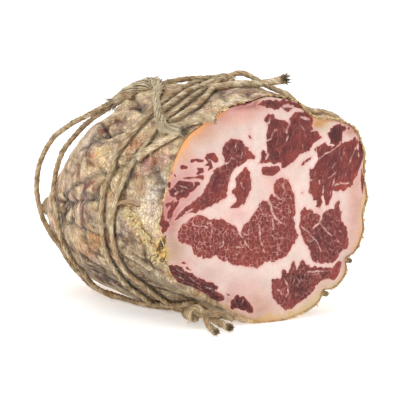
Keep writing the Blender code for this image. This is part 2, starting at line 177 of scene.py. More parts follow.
def ring_faces(rows, columns, start=0, flip=False):
    """Quads between neighbouring rings of points; flip turns them to face the other way."""
    ring = np.arange(columns)
    after = (ring + 1) % columns
    near = start + np.arange(rows - 1)[:, None] * columns
    quads = np.stack([near + ring, near + after, near + columns + after, near + columns + ring], axis=-1)
    quads = quads.reshape(-1, 4)
    return (quads[:, ::-1] if flip else quads).tolist()


# %% [markdown]
# ## The form of the meat
#
# The cut has its own uneven outline, with dents where twine used to pull. Behind it the section turns into
# a rounder one, swells a little, and tapers to the tied end. A section at any depth is a radius for each
# angle, so one function of angle and depth describes the whole skin, and twine can be laid on it by the
# same two numbers.

# %% Outline and section
LENGTH = 163.0
AXIS_HEIGHT = 52.0
REST_BEHIND_CUT = 68.0
CUT_OUTLINE = [
    (0, 104), (10, 102.7), (18, 100.6), (23, 95.8), (31, 92.4), (39, 91.8), (46, 89.7), (52, 86.4),
    (55.3, 81), (57.8, 74), (57.6, 64), (59.3, 54), (57, 46.5), (57.5, 39), (54.6, 31.5),
    (49.5, 24.5), (45, 16), (36, 10),
    (25, 3.3), (11, 0), (-4, 0), (-16, 4.2), (-29, 10.4), (-42, 17.6), (-50, 22.4), (-54.4, 30),
    (-56, 38), (-59.2, 48), (-57.6, 55), (-55.5, 64), (-51.5, 76), (-45, 86.5), (-37, 92),
    (-28, 96.5), (-18, 100.8), (-9, 102),
]
BACK_HALF_WIDTH = 57.6
BACK_HALF_HEIGHT = 52.0
BACK_SQUARENESS = 2.12
BLEND_LENGTH = 55.0
TAPER_POWER = 2.6
SWELL_SHARE = 0.076
SWELL_WAVES = 1.6
AXIS_DROP = 56.0
TIP_SHIFT = -8.0
TIP_HEIGHT = 40.0
TIP_BEND_FROM = 0.94
RISE_POWER = 2.0
SHIFT_POWER = 1.6


def smooth_path(points, closed=False, per_span=10):
    """A Catmull-Rom curve through the points, any number of values to a point."""
    p = np.array(points, float)
    count = len(p)
    curve = []
    for i in range(count if closed else count - 1):
        if closed:
            a, b, c, d = p[i - 1], p[i], p[(i + 1) % count], p[(i + 2) % count]
        else:
            a, b, c, d = p[max(i - 1, 0)], p[i], p[i + 1], p[min(i + 2, count - 1)]
        for u in np.arange(per_span) / per_span:
            bend = (2 * a - 5 * b + 4 * c - d) * u**2 + (3 * b - 3 * c + d - a) * u**3
            curve.append(0.5 * (2 * b + (c - a) * u + bend))
    if not closed:
        curve.append(p[-1])
    return np.array(curve)


def outline_table():
    """The outline of the cut as angles and radii from the axis."""
    curve = smooth_path(CUT_OUTLINE, closed=True)
    up = curve[:, 1] - AXIS_HEIGHT
    angles = np.arctan2(up, curve[:, 0])
    order = np.argsort(angles)
    return angles[order], np.hypot(curve[:, 0], up)[order]


OUTLINE_ANGLES, OUTLINE_RADII = outline_table()


def cut_radius(angle):
    return np.interp(angle, OUTLINE_ANGLES, OUTLINE_RADII, period=2 * np.pi)


def back_radius(angle):
    """The rounder section behind the cut, between an ellipse and a box."""
    across = (np.abs(np.cos(angle)) / BACK_HALF_WIDTH) ** BACK_SQUARENESS
    up = (np.abs(np.sin(angle)) / BACK_HALF_HEIGHT) ** BACK_SQUARENESS
    return (across + up) ** (-1 / BACK_SQUARENESS)


def taper(behind):
    share = np.clip(behind / LENGTH, 0, 1)
    return np.sqrt(1 - share**TAPER_POWER)


def axis_at(behind):
    """The section's middle, which drops with the taper and bends up into the tied tip."""
    size = taper(behind)
    bend = np.clip(1 - size / TIP_BEND_FROM, 0, 1)
    low_end = AXIS_HEIGHT - AXIS_DROP
    up = AXIS_HEIGHT - AXIS_DROP * (1 - size) + (TIP_HEIGHT - low_end) * bend**RISE_POWER
    return TIP_SHIFT * bend**SHIFT_POWER, up


print("outline", len(OUTLINE_ANGLES), "points")

# %% [markdown]
# Meat shrinks as it dries and the casing folds with it. The large swellings and folds below are in the
# solid too. Each swelling is a soft bump or hollow of the skin, and each fold is a line on it that pulls
# the skin in.

# %% Swellings and folds
SWELLING_FADE = 20.0
# Each swelling: angle, depth, share of the radius, spread in degrees, reach in millimetres
SWELLINGS = [
    (-125, 40, -0.10, 28, 55),
    (-138, 32, -0.04, 20, 16),
    (-155, 140, -0.22, 45, 32),
    (133, 68, 0.062, 35, 25),
    (143, 72, 0.045, 9, 12),
    (143, 58, 0.025, 8, 8),
    (152, 100, 0.030, 12, 14),
    (-168, 62, 0.022, 16, 16),
    (-176, 84, -0.050, 10, 12),
    (-148, 72, 0.020, 14, 12),
    (35, 70, 0.030, 25, 30),
    (-15, 95, 0.030, 25, 25),
    (80, 95, 0.025, 20, 20),
]
# Each fold: a line of (angle, depth) points, how deep it is and half its width
FOLDS = [
    ([(177, 92), (175, 76), (170, 67), (165, 50), (160, 32)], 1.9, 3.2),
    ([(174, 104), (176, 80), (176, 64), (174, 48)], 1.3, 2.8),
    ([(128, 120), (132, 100), (138, 84)], 1.2, 3.5),
    ([(-140, 100), (-146, 78), (-150, 62)], 1.1, 3.0),
    ([(60, 118), (52, 96), (50, 76)], 1.4, 3.5),
    ([(10, 126), (4, 104), (6, 84)], 1.4, 3.5),
    ([(-40, 120), (-38, 98)], 1.2, 3.5),
    ([(-29.3, -6), (-29.3, 5)], 2.7, 3.2),
    ([(-50.2, -6), (-50.2, 5)], 2.7, 3.2),
]
# Waves round the section: how many, how they turn with depth, and their share of the height
WAVES = [(5, 0.09, 1.0), (9, -0.16, 0.7)]
WAVE_HEIGHT = 0.45
FAR = 1e6


def wrapped(degrees):
    return (degrees + 180) % 360 - 180


def line_on_skin(degrees, behind, radius, points):
    """Distance in millimetres over the skin to a line of (angle, depth) points."""
    nearest = np.full(np.broadcast(degrees, behind).shape, FAR)
    for (a0, b0), (a1, b1) in zip(points[:-1], points[1:]):
        run = np.radians(wrapped(a1 - a0)) * radius
        x = np.radians(wrapped(degrees - a0)) * radius
        y = behind - b0
        length2 = run**2 + (b1 - b0) ** 2
        share = np.clip((x * run + y * (b1 - b0)) / np.maximum(length2, 1e-9), 0, 1)
        nearest = np.minimum(nearest, np.hypot(x - share * run, y - share * (b1 - b0)))
    return nearest


def fold_depth(degrees, behind, radius):
    """How far the folds pull the skin in."""
    depth = np.zeros(np.broadcast(degrees, behind).shape)
    for points, deep, half_width in FOLDS:
        gap = line_on_skin(degrees, behind, radius, points)
        depth = np.maximum(depth, deep * np.exp(-((gap / half_width) ** 2)))
    return depth


def radius_at(angle, behind):
    """The skin's distance from the axis, for an angle in radians and a depth behind the cut."""
    rounder = eased(np.clip(behind / BLEND_LENGTH, 0, 1))
    radius = cut_radius(angle) * (1 - rounder) + back_radius(angle) * rounder
    share = np.clip(behind / LENGTH, 0, 1)
    swell = 1 + SWELL_SHARE * np.sin(np.pi * np.minimum(1, SWELL_WAVES * share))
    size = taper(behind)
    degrees = np.degrees(angle)
    form = 0.0
    for at, where, amount, spread, reach in SWELLINGS:
        form = form + amount * np.exp(
            -((wrapped(degrees - at) / spread) ** 2) - ((behind - where) / reach) ** 2
        )
    started = eased(np.clip(behind / SWELLING_FADE, 0, 1))
    radius = radius * size * swell * (1 + form * started)
    waves = sum(part * np.sin(count * angle + behind * turn) for count, turn, part in WAVES)
    waves = WAVE_HEIGHT * waves * rounder * size
    return radius + waves - fold_depth(degrees, behind, radius) * size


def meat_point(angle, behind, lift=0.0):
    """Places on the skin, raised by the lift, in millimetres from the cut."""
    angle, behind = np.broadcast_arrays(np.asarray(angle, float), np.asarray(behind, float))
    radius = radius_at(angle, behind) + lift
    across, up = axis_at(behind)
    height = np.maximum(up + radius * np.sin(angle), 0)
    return np.stack([across + radius * np.cos(angle), behind, height], axis=-1)


def in_model(points):
    """From the cut's own frame to the model's, both in millimetres."""
    moved = np.array(points, float)
    moved[..., 1] -= REST_BEHIND_CUT
    return moved


print("height of the cut", round(float(meat_point(np.pi / 2, 0.0)[2]), 1), "mm")

# %% [markdown]
# ## The routes of the twine
#
# The twine comes before the casing, because it has pressed grooves into it. Every strand is a row of
# points that give an angle round the meat, a depth behind the cut and a clear height over the casing, and
# a fourth number where the strand is thicker or thinner than the rest. The strands at the floor are given
# as x, y, z and thickness instead. These are the routes of the solid.

# %% Strand routes
TWINE_RADIUS = 1.35
GAP = 0.3
LOWEST_TWINE = 1.7
SQUARE_FROM = 146.0
SQUARE_TO = 160.0
STRANDS = {
    "loop_outer": [
        (120, 64, 0.8), (122.5, 70, 2.2), (125, 78, 2.9), (126, 90, 5.5), (126.5, 103, 8.7),
        (128, 115, 11.7), (130, 125, 13.3), (134, 135, 13.4), (140, 142, 11.4), (150, 146, 7.2),
        (164, 147.5, 3), (180, 147, 1.2), (-168, 143, 0.2), (-152, 136, -0.2), (-138, 129, 0),
        (-127, 121, 0.9), (-119, 110, 1.6), (-116, 96, 1.2), (-115, 82, 0.4), (-115, 67, 0),
        (-114, 50, 0), (-115, 34, 0), (-118, 22, 0),
    ],
    "loop_inner": [
        (121.5, 62, 0.3), (122.5, 72, 0.6), (123.2, 81, 1.8), (123.2, 92, 3.6), (123.6, 100, 4.7),
        (126, 109, 5.1), (130, 117, 5.2), (136, 121, 3.9), (144, 122, 2.1), (155, 120, 0.5),
        (167, 114, 0), (178, 107, 0), (-168, 102, 0), (-156, 100, 0), (-143, 102, 0),
        (-133, 104, 0.6), (-125, 101, 1.8), (-120, 92, 2), (-118, 80, 0.5), (-117, 66, 0),
        (-117, 50, 0), (-118, 34, 0.5), (-120, 20, 0),
    ],
    "band_back": [
        (-118, 57, 0), (-128, 54, 0), (-139, 52, 0), (-151, 47, 0), (-163, 44, 0), (-175, 41, 0),
        (175, 40, 0), (166, 39, 0.2), (157, 38, 0), (147, 34, 0), (137, 32, 0), (128, 33, 0),
        (117, 36, 0), (104, 42, 0), (94, 46, 0.3), (84, 46, 0), (70, 48, 0), (50, 52, 0),
        (28, 54, 0), (5, 54, 0), (-18, 54, 0.2), (-27, 54, 2), (-49, 54, 2), (-60, 55, 0.2),
        (-75, 56, 0), (-90, 57, 0), (-104, 58, 0), (-115, 59, 0),
    ],
    "band_front": [
        (-118, 43, 0), (-127, 44, 0), (-138, 41, 0), (-149, 38, 0), (-160, 36, 0), (-171, 34, 0),
        (178, 31, 0), (169, 28, 0), (161, 25, 0), (153, 21, 0), (145, 19, 0), (137, 20, 0),
        (127, 21, 0), (116, 23, 0), (106, 27, 0), (96, 33, 0.2), (86, 36, 0.4), (72, 35, 0),
        (50, 36, 0), (28, 37, 0), (5, 38, 0), (-18, 38, 0.2), (-27, 38, 2), (-49, 38, 2),
        (-60, 39, 0.2), (-75, 40, 0), (-90, 41, 0), (-104, 43, 0), (-115, 44, 0),
    ],
    "top_far": [(114, 60, 0.5), (106, 57, 0.7), (100, 53, 1.2), (94, 48, 1.6), (88, 43, 1.6), (84, 38, 1.2)],
    "top_near": [(131, 27, 0.5), (121, 28, 0.2), (112, 31, 0), (103, 34, 0), (94, 36, 1), (86, 37, 1)],
    "top_rim": [
        (137, 14, 0.5), (129, 14, 0), (120, 14, 0), (111, 18, 0), (100, 27, 0.2), (90, 34, 1.8),
        (85, 33, 3.6), (82, 31, 4.6), (79, 28, 3.8), (76, 24, 1.8), (73, 17, 0.3), (69, 11, 0),
        (60, 9, 0.2), (42, 11, 0.3), (20, 14, 0.3), (0, 16, 0.5), (-18, 18, 0.3), (-27, 19, 2),
        (-50, 20, 2), (-60, 21, 0.2), (-72, 22, 0), (-86, 23, 0), (-100, 24, 0), (-112, 24, 0),
    ],
    "top_end": [
        (104, 27, 0.5, 1.1), (96, 24, 0.2, 1.2), (88, 21, 0, 1.3), (81, 20, 0.4, 1.3),
        (77, 16, 2.2, 1.35), (75.5, 11, 4, 1.45), (75, 8, 5, 1.6),
    ],
    "side_end": [
        (140, 13, 0.4), (137.2, 7.5, 0.1, 1.1), (134.8, 4, 0, 1.2), (132.4, 1.8, 0, 1.25),
        (130.2, -0.2, 0, 1.3), (128.4, -1.9, -0.9, 1.35), (126.3, -2.6, -2.6, 1.4),
    ],
    "cheek_end": [
        (141, 3, 0.6, 1.1), (144, 6, 0.2, 1.1), (148, 11, 0, 1.2), (153, 17, 0, 1.3), (156, 20, 0, 1.4),
    ],
    "rope_upper": [
        (-29.3, -0.5, 0.2), (-29.2, 5, 0.3), (-29, 9, 0.4), (-28, 24, 0), (-26, 42, 0), (-24, 62, 0),
        (-21, 84, 0), (-16, 106, 0), (-8, 126, 0.2), (4, 142, 0.4), (20, 152, 0.4), (45, 159, 0.5),
        (90, 161, 0),
    ],
    "rope_lower": [
        (-50.2, -0.5, 0.2), (-50, 5, 0.3), (-49.6, 9, 0.4), (-48, 24, 0), (-48, 42, 0), (-49, 62, 0),
        (-51, 84, 0), (-54, 106, 0), (-60, 126, 0.2), (-70, 142, 0.4), (-84, 152, 0.2), (-110, 158, 0.3),
        (-150, 161, 0),
    ],
    "rope_top": [
        (85, 44, 1), (79, 56, 0.3), (72, 72, 0), (66, 90, 0), (62, 108, 0), (62, 126, 0.2),
        (66, 142, 0.4), (76, 153, 0.4), (95, 159, 1), (128, 161, 1.2),
    ],
}
# The two bands are thinner than the rest of the twine
BAND_SHARE = 0.85
for band in ("band_back", "band_front"):
    STRANDS[band] = [(*row, BAND_SHARE) for row in STRANDS[band]]
BUNDLES = {
    "top_bundle": [
        (125, 72, 1.5, 1.3), (120, 68, 1, 2.0), (115, 65, 0.5, 2.3), (111, 61, 0.2, 2.3), (111, 56, 0, 2.1),
        (115, 49, 0.2, 1.4), (122, 41, 0.5, 1.25), (129, 31, 0.8, 1.2), (135, 22.5, 0.6, 1.3),
        (139, 16, 0.4, 1.5), (141, 11, 0.2, 1.8), (141, 5.5, 0, 1.7), (140, 2.5, 0, 1.4),
    ],
    "crossing_knot": [(91, 41, 0, 1.5), (89, 36, 0.3, 1.9), (89, 30, 0, 1.8), (91, 25, 0, 1.3)],
}
FLOOR_STRANDS = {
    "lower_knot": [
        (-21, 34, 2.6, 1.3), (-25, 26, 3.2, 1.7), (-30.3, 19, 4.4, 1.9), (-33.4, 12, 4.8, 1.8),
        (-34, 7, 4.2, 1.5),
    ],
    "lower_end_long": [
        (-33.8, 8, 3.8, 1.2), (-38.5, 5, 5.1, 1.1), (-40.4, 3.5, 8.0, 1.1), (-39.1, 3, 9.6, 1.1),
        (-36.8, 2, 10.0, 1.1), (-34.8, 1, 8.5, 1.1), (-34.5, -1, 6.0, 1.1), (-35.7, -5, 3.5, 1.15),
        (-37.8, -11, 2.4, 1.2), (-40.6, -18, 2.3, 1.35),
    ],
    "lower_end_short": [
        (-32, 12, 5.0, 1.2), (-29.2, 6, 5.2, 1.2), (-28.7, 0, 4.0, 1.25), (-28.7, -6, 2.9, 1.35),
        (-30.0, -13.8, 2.6, 1.5),
    ],
    "lower_end_inner": [
        (-33.4, 10, 5.0, 1.2), (-32.8, 4, 7.4, 1.2), (-30.8, -1.5, 7.3, 1.2), (-26.6, -3, 6.2, 1.2),
        (-22.0, -3.5, 4.9, 1.2),
    ],
}
NUB_LENGTH = 13.0
NUB_RADIUS = 3.0
NUB_LEAN = -6.0
NUB_SINK = -3.0
NUB_ROOT = 4.0
NUB_THICKNESS = [1.7, 1.0, 0.85, 0.85, 1.15]
NUB_TURN_AT = 0.7
NUB_TURN_HALF = 0.03
TIP_STRANDS = {"rope_upper": 0.72, "rope_lower": 0.72, "rope_top": 0.68}


def outward(angle, behind):
    """Straight out from the axis, and square to the casing near the tip."""
    turn, step = 0.02, 0.4
    near = np.clip(behind - step, 0, LENGTH - 2 * step)
    far = np.clip(behind + step, 2 * step, LENGTH)
    around = meat_point(angle + turn, behind) - meat_point(angle - turn, behind)
    along = meat_point(angle, far) - meat_point(angle, near)
    normal = np.cross(along, around)
    normal /= np.linalg.norm(normal, axis=-1, keepdims=True)
    straight = np.stack([np.cos(angle), 0 * angle, np.sin(angle)], axis=-1)
    share = np.clip((behind - SQUARE_FROM) / (SQUARE_TO - SQUARE_FROM), 0, 1)[:, None]
    mixed = straight * (1 - share) + normal * share
    return mixed / np.linalg.norm(mixed, axis=-1, keepdims=True)


def twine_point(route):
    """Places of a strand's middle, from (angle, depth, clear height, thickness) rows."""
    angle = np.radians(route[:, 0])
    inside = np.clip(route[:, 1], 0, LENGTH - GAP)
    thick = route[:, 3]
    radius = radius_at(angle, inside) + route[:, 2]
    across, up = axis_at(inside)
    place = np.stack([across + radius * np.cos(angle), route[:, 1], up + radius * np.sin(angle)], axis=1)
    place += outward(angle, inside) * (GAP + TWINE_RADIUS * thick)[:, None]
    place[:, 2] = np.maximum(place[:, 2], LOWEST_TWINE + TWINE_RADIUS * (thick - 1))
    return np.column_stack([place, thick])


def full_rows(route):
    """Rows of four values, with angles that run on past 180 degrees instead of jumping."""
    rows = [tuple(row) + (1,) * (4 - len(row)) for row in route]
    unwound = np.array(rows, float)
    unwound[:, 0] = np.degrees(np.unwrap(np.radians(unwound[:, 0])))
    return unwound


def evenly_spaced(curve, spacing):
    """Points a near-equal length apart along the first three values of the curve."""
    steps = np.linalg.norm(np.diff(curve[:, :3], axis=0), axis=1)
    along = np.concatenate([[0], np.cumsum(steps)])
    count = max(3, round(along[-1] / spacing) + 1)
    at = np.linspace(0, along[-1], count)
    return np.stack([np.interp(at, along, column) for column in curve.T], axis=1)


NUB_REACH = np.array([NUB_LEAN, NUB_LENGTH, NUB_SINK])
NUB_AXIS = NUB_REACH / np.linalg.norm(NUB_REACH)


def nub_point(share):
    """Places along the middle of the gathered neck."""
    start = np.array([TIP_SHIFT, LENGTH - NUB_ROOT, TIP_HEIGHT])
    return start + np.multiply.outer(np.asarray(share, float), NUB_REACH)


def strand_points(name, route):
    """A strand's places, carried on to the turns round the tip where it ends there."""
    curve = twine_point(smooth_path(full_rows(route)))
    if name in TIP_STRANDS:
        middle = nub_point(TIP_STRANDS[name])
        aside = curve[-1, :3] - middle
        aside -= NUB_AXIS * (aside @ NUB_AXIS)
        aside /= np.linalg.norm(aside)
        curve = np.vstack([curve, np.append(middle + aside * (NUB_RADIUS + TWINE_RADIUS), 1)])
    return curve


ROUTES = {name: strand_points(name, route) for name, route in {**STRANDS, **BUNDLES}.items()}
ROUTES.update({name: smooth_path(route) for name, route in FLOOR_STRANDS.items()})
run = sum(np.linalg.norm(np.diff(path[:, :3], axis=0), axis=1).sum() for path in ROUTES.values())
print("twine", round(run), "mm in", len(ROUTES), "strands")

# %% [markdown]
# ## The casing
#
# Natural casing dries like parchment: it puckers in long creases that run to the tied end, sinks under the
# twine and swells beside it, and stands up in a thin torn lip round the cut. Sculpting could do this, but
# a sculpted mesh can't be changed by numbers. Here every crease is a line of points on the skin, and noise
# does the rest: lumps at three sizes, fine wrinkles, and pleats that grow towards the tied end.

# %% Creases, ridges and lumps of the casing
# Each crease: a line of (angle, depth) points, how deep it cuts or, below zero, how far it stands up, and
# its half width
CREASES = [
    ([(162.5, 47), (165.2, 57.6), (167.2, 66.5), (168.8, 77.7), (171.1, 90.9), (173.5, 104)], 1.5, 1.3),
    ([(161, 44), (164, 57), (166, 66)], -0.7, 1.4),
    ([(175.8, 92), (175.9, 77.5), (175.4, 61), (175.3, 50), (174.7, 42)], 1, 1),
    ([(177.3, 87.5), (-176.1, 86.6), (-172.4, 79.6), (-171.4, 59.2), (-169.1, 48.6)], 1, 1.3),
    ([(161.4, 42.6), (160.2, 37), (158.5, 30.7)], 0.9, 1),
    ([(148, 58), (148, 50), (147, 40)], -0.8, 1.6),
    ([(150.5, 58), (150, 50), (149, 42)], 0.6, 1.2),
    ([(139, 52), (146, 56)], 0.8, 1.1),
    ([(140, 60), (147, 63)], 0.8, 1.1),
    ([(143, 45), (147, 47)], 0.6, 0.9),
    ([(158, 92), (161, 84), (164, 76)], 0.6, 1.3),
    ([(152, 92), (156, 80)], 0.5, 1.2),
    ([(-163, 32), (-160.5, 26), (-156, 17)], -0.6, 1.8),
    ([(-160, 34), (-156.5, 25), (-152, 18)], 0.8, 1.5),
    ([(-168, 26), (-164, 31), (-158, 36)], 0.7, 1.6),
    ([(-134, 42), (-126, 34), (-118, 20), (-112, 12)], 0.9, 2),
    ([(-128, 60), (-138, 64), (-148, 70), (-158, 84)], 0.7, 1.4),
    ([(-176, 118), (-178, 104), (179, 94)], 1.2, 2),
    ([(166, 122), (170, 112), (173, 103)], 0.8, 1.6),
    ([(110, 76), (116, 90), (122, 104), (126, 118)], 0.7, 1.5),
    ([(96, 66), (98, 84), (104, 100)], 0.6, 1.4),
    ([(40, 60), (34, 80), (36, 100), (44, 120)], 0.8, 1.5),
    ([(18, 62), (16, 84), (22, 106)], 0.7, 1.5),
    ([(-8, 60), (-6, 82), (-2, 110)], 0.8, 1.6),
    ([(-66, 62), (-64, 84), (-70, 110)], 0.7, 1.5),
    ([(76, 60), (84, 78), (86, 100)], 0.7, 1.4),
    ([(24, 20), (20, 34)], 0.6, 1.2),
    ([(44, 18), (48, 32)], 0.6, 1.2),
    ([(-12, 22), (-8, 34)], 0.6, 1.2),
    ([(151.5, 72), (151.3, 66.8), (149.6, 59.2), (147.6, 53.7), (146.1, 48), (143.6, 42.8)], 1.5, 1.5),
    ([(138, 70), (140.2, 63), (144.3, 54.8), (146.9, 51.4)], 1.3, 1.4),
    ([(121.5, 62), (126.2, 52.2), (130, 45.5)], 1.6, 1.6),
    ([(127, 122), (129, 104), (131, 90), (130, 76)], 2.3, 6.5),
    ([(127, 68), (123, 64), (117, 61), (110, 58), (103, 54)], -1.5, 4),
    ([(124.9, 62.8), (132.6, 53.3), (136.4, 44.5)], -1.2, 1.6),
    ([(-179.4, 56.8), (-175.3, 50.4), (-171.3, 37.3)], 0.7, 1),
    ([(162.1, 50), (166.4, 42.5), (170.6, 37.2)], 0.8, 1.1),
]
# Lumps: cell and height in millimetres
LUMPS = [(12.0, 0.70), (5.5, 0.36), (2.6, 0.18)]
# Wrinkles follow the lines where a soft noise is zero: cell, half width in noise, depth, shift
WRINKLES = [(11.0, 0.12, 0.80, 50), (5.0, 0.15, 0.30, 51)]
LENGTHWISE = np.array([1.0, 0.6, 1.0])
PLEAT_COUNT = 27
PLEAT_HEIGHT = 0.42
GROOVE_DEPTH = 0.9
GROOVE_WIDTH = 1.9
BESIDE_GROOVE = 3.6
BESIDE_HEIGHT = 0.35
BESIDE_WIDTH = 1.3
# Lumps and wrinkles are flat near the twine, and come back over a few millimetres
FLAT_WITHIN = 1.2
FLAT_FADE = 4
PLEAT_WANDER = 22.0
PLEATS_FROM = 60
PLEATS_FADE = 80
RIM_FADE = 6
TWINE_SAMPLING = 1.5
WRINKLE_WANDER = 1.6
WANDER_CELL = 6.0


def twine_nearness(places):
    """Distance from each place to the nearest strand's middle."""
    middles = np.vstack([evenly_spaced(path, TWINE_SAMPLING)[:, :3] for path in ROUTES.values()])
    tree = KDTree(len(middles))
    for index, middle in enumerate(middles):
        tree.insert(middle, index)
    tree.balance()
    gaps = [tree.find(place)[2] for place in places.reshape(-1, 3)]
    return np.array(gaps).reshape(places.shape[:-1])


def wrinkles(places):
    """Depth of the fine wrinkles at each place, drawn out along the piece as the casing is."""
    drawn = places * LENGTHWISE
    wander = np.stack([soft_noise(drawn, WANDER_CELL, shift) for shift in (52, 53, 54)], axis=-1)
    depth = np.zeros(places.shape[:-1])
    for cell, half_width, deep, shift in WRINKLES:
        value = soft_noise(drawn + WRINKLE_WANDER * wander, cell, shift)
        here = np.clip(0.35 + 1.6 * soft_noise(drawn, 1.7 * cell, shift + 5), 0, 1)
        depth = depth + deep * here * np.exp(-((value / half_width) ** 2))
    return depth


def casing_relief(angle, behind, places):
    """How far the casing stands over the plain form at each place, and how near twine is."""
    degrees = np.degrees(angle) + 0 * behind
    behind = behind + 0 * angle
    radius = radius_at(angle, behind)
    size = taper(behind)
    lift = np.zeros(degrees.shape)
    for points, deep, half_width in CREASES:
        gap = line_on_skin(degrees, behind, radius, points)
        lift = lift - deep * np.exp(-((gap / half_width) ** 2))
    near = twine_nearness(places)
    free = np.clip((near - FLAT_WITHIN) / FLAT_FADE, 0.25, 1)
    for number, (cell, height) in enumerate(LUMPS):
        lift = lift + free * height * soft_noise(places, cell, number)
    lift = lift - free * wrinkles(places)
    wander = soft_noise(places, PLEAT_WANDER, 5)
    pleats = 1 - np.abs(np.sin(0.5 * PLEAT_COUNT * angle + 2.6 * wander))
    near_tip = np.clip((behind - PLEATS_FROM) / PLEATS_FADE, 0, 1)
    lift = lift + PLEAT_HEIGHT * (pleats - 0.4) * (0.35 + near_tip)
    lift = lift - GROOVE_DEPTH * np.exp(-((near / GROOVE_WIDTH) ** 2))
    lift = lift + BESIDE_HEIGHT * np.exp(-(((near - BESIDE_GROOVE) / BESIDE_WIDTH) ** 2))
    settle = np.clip(behind / RIM_FADE, 0, 1) * (0.25 + 0.75 * size)
    return lift * settle, near


print("creases", len(CREASES))

# %% [markdown]
# The colour of the casing is as uneven as its form: grey and beige bloom over olive, with patches of
# ochre, brick, plum and tan where fat or lean shows through. Each patch is a spot on the skin with a reach
# and a named colour. Shade is painted in as well: shadow brown in creases, wrinkles and hollows and beside
# the twine, cream on raised creases, and a darker underside. The mesh stores the mixed colour at every
# point, broken up by noise, and the material later adds what is finer than the mesh.

# %% Patches of colour
def linear(red, green, blue):
    """A colour as it is seen, from 0 to 255, turned into light."""
    seen = np.array([red, green, blue]) / 255
    return np.where(seen <= 0.04045, seen / 12.92, ((seen + 0.055) / 1.055) ** 2.4)


SKIN_COLOURS = {
    "beige": linear(208, 179, 145),
    "olive": linear(168, 143, 106),
    "grey": linear(178, 157, 143),
    "bloom": linear(224, 210, 194),
    "ochre": linear(228, 188, 124),
    "brick": linear(180, 112, 82),
    "plum": linear(144, 102, 97),
    "tan": linear(212, 166, 118),
    "rose": linear(200, 152, 130),
    # Shadow brown is painted shade, laid where creases, wrinkles, hollows and the twine would shade the
    # casing
    "shadow_brown": linear(74, 55, 42),
    "cream": linear(232, 212, 176),
    "brown": linear(130, 94, 64),
    "umber": linear(112, 88, 64),
    "dusk": linear(138, 116, 106),
    "russet": linear(160, 120, 98),
}
# Blotches all over: cell in millimetres, where in the noise they start, colour, strength
BLOTCHES = [
    (10.0, 0.05, "tan", 0.65), (8.0, 0.15, "grey", 0.7), (6.5, 0.12, "cream", 0.75),
    (5.5, 0.22, "rose", 0.7),
    (4.6, 0.30, "plum", 0.6), (4.0, 0.26, "olive", 0.6), (3.0, 0.34, "brown", 0.55),
    (2.4, 0.30, "cream", 0.6),
]
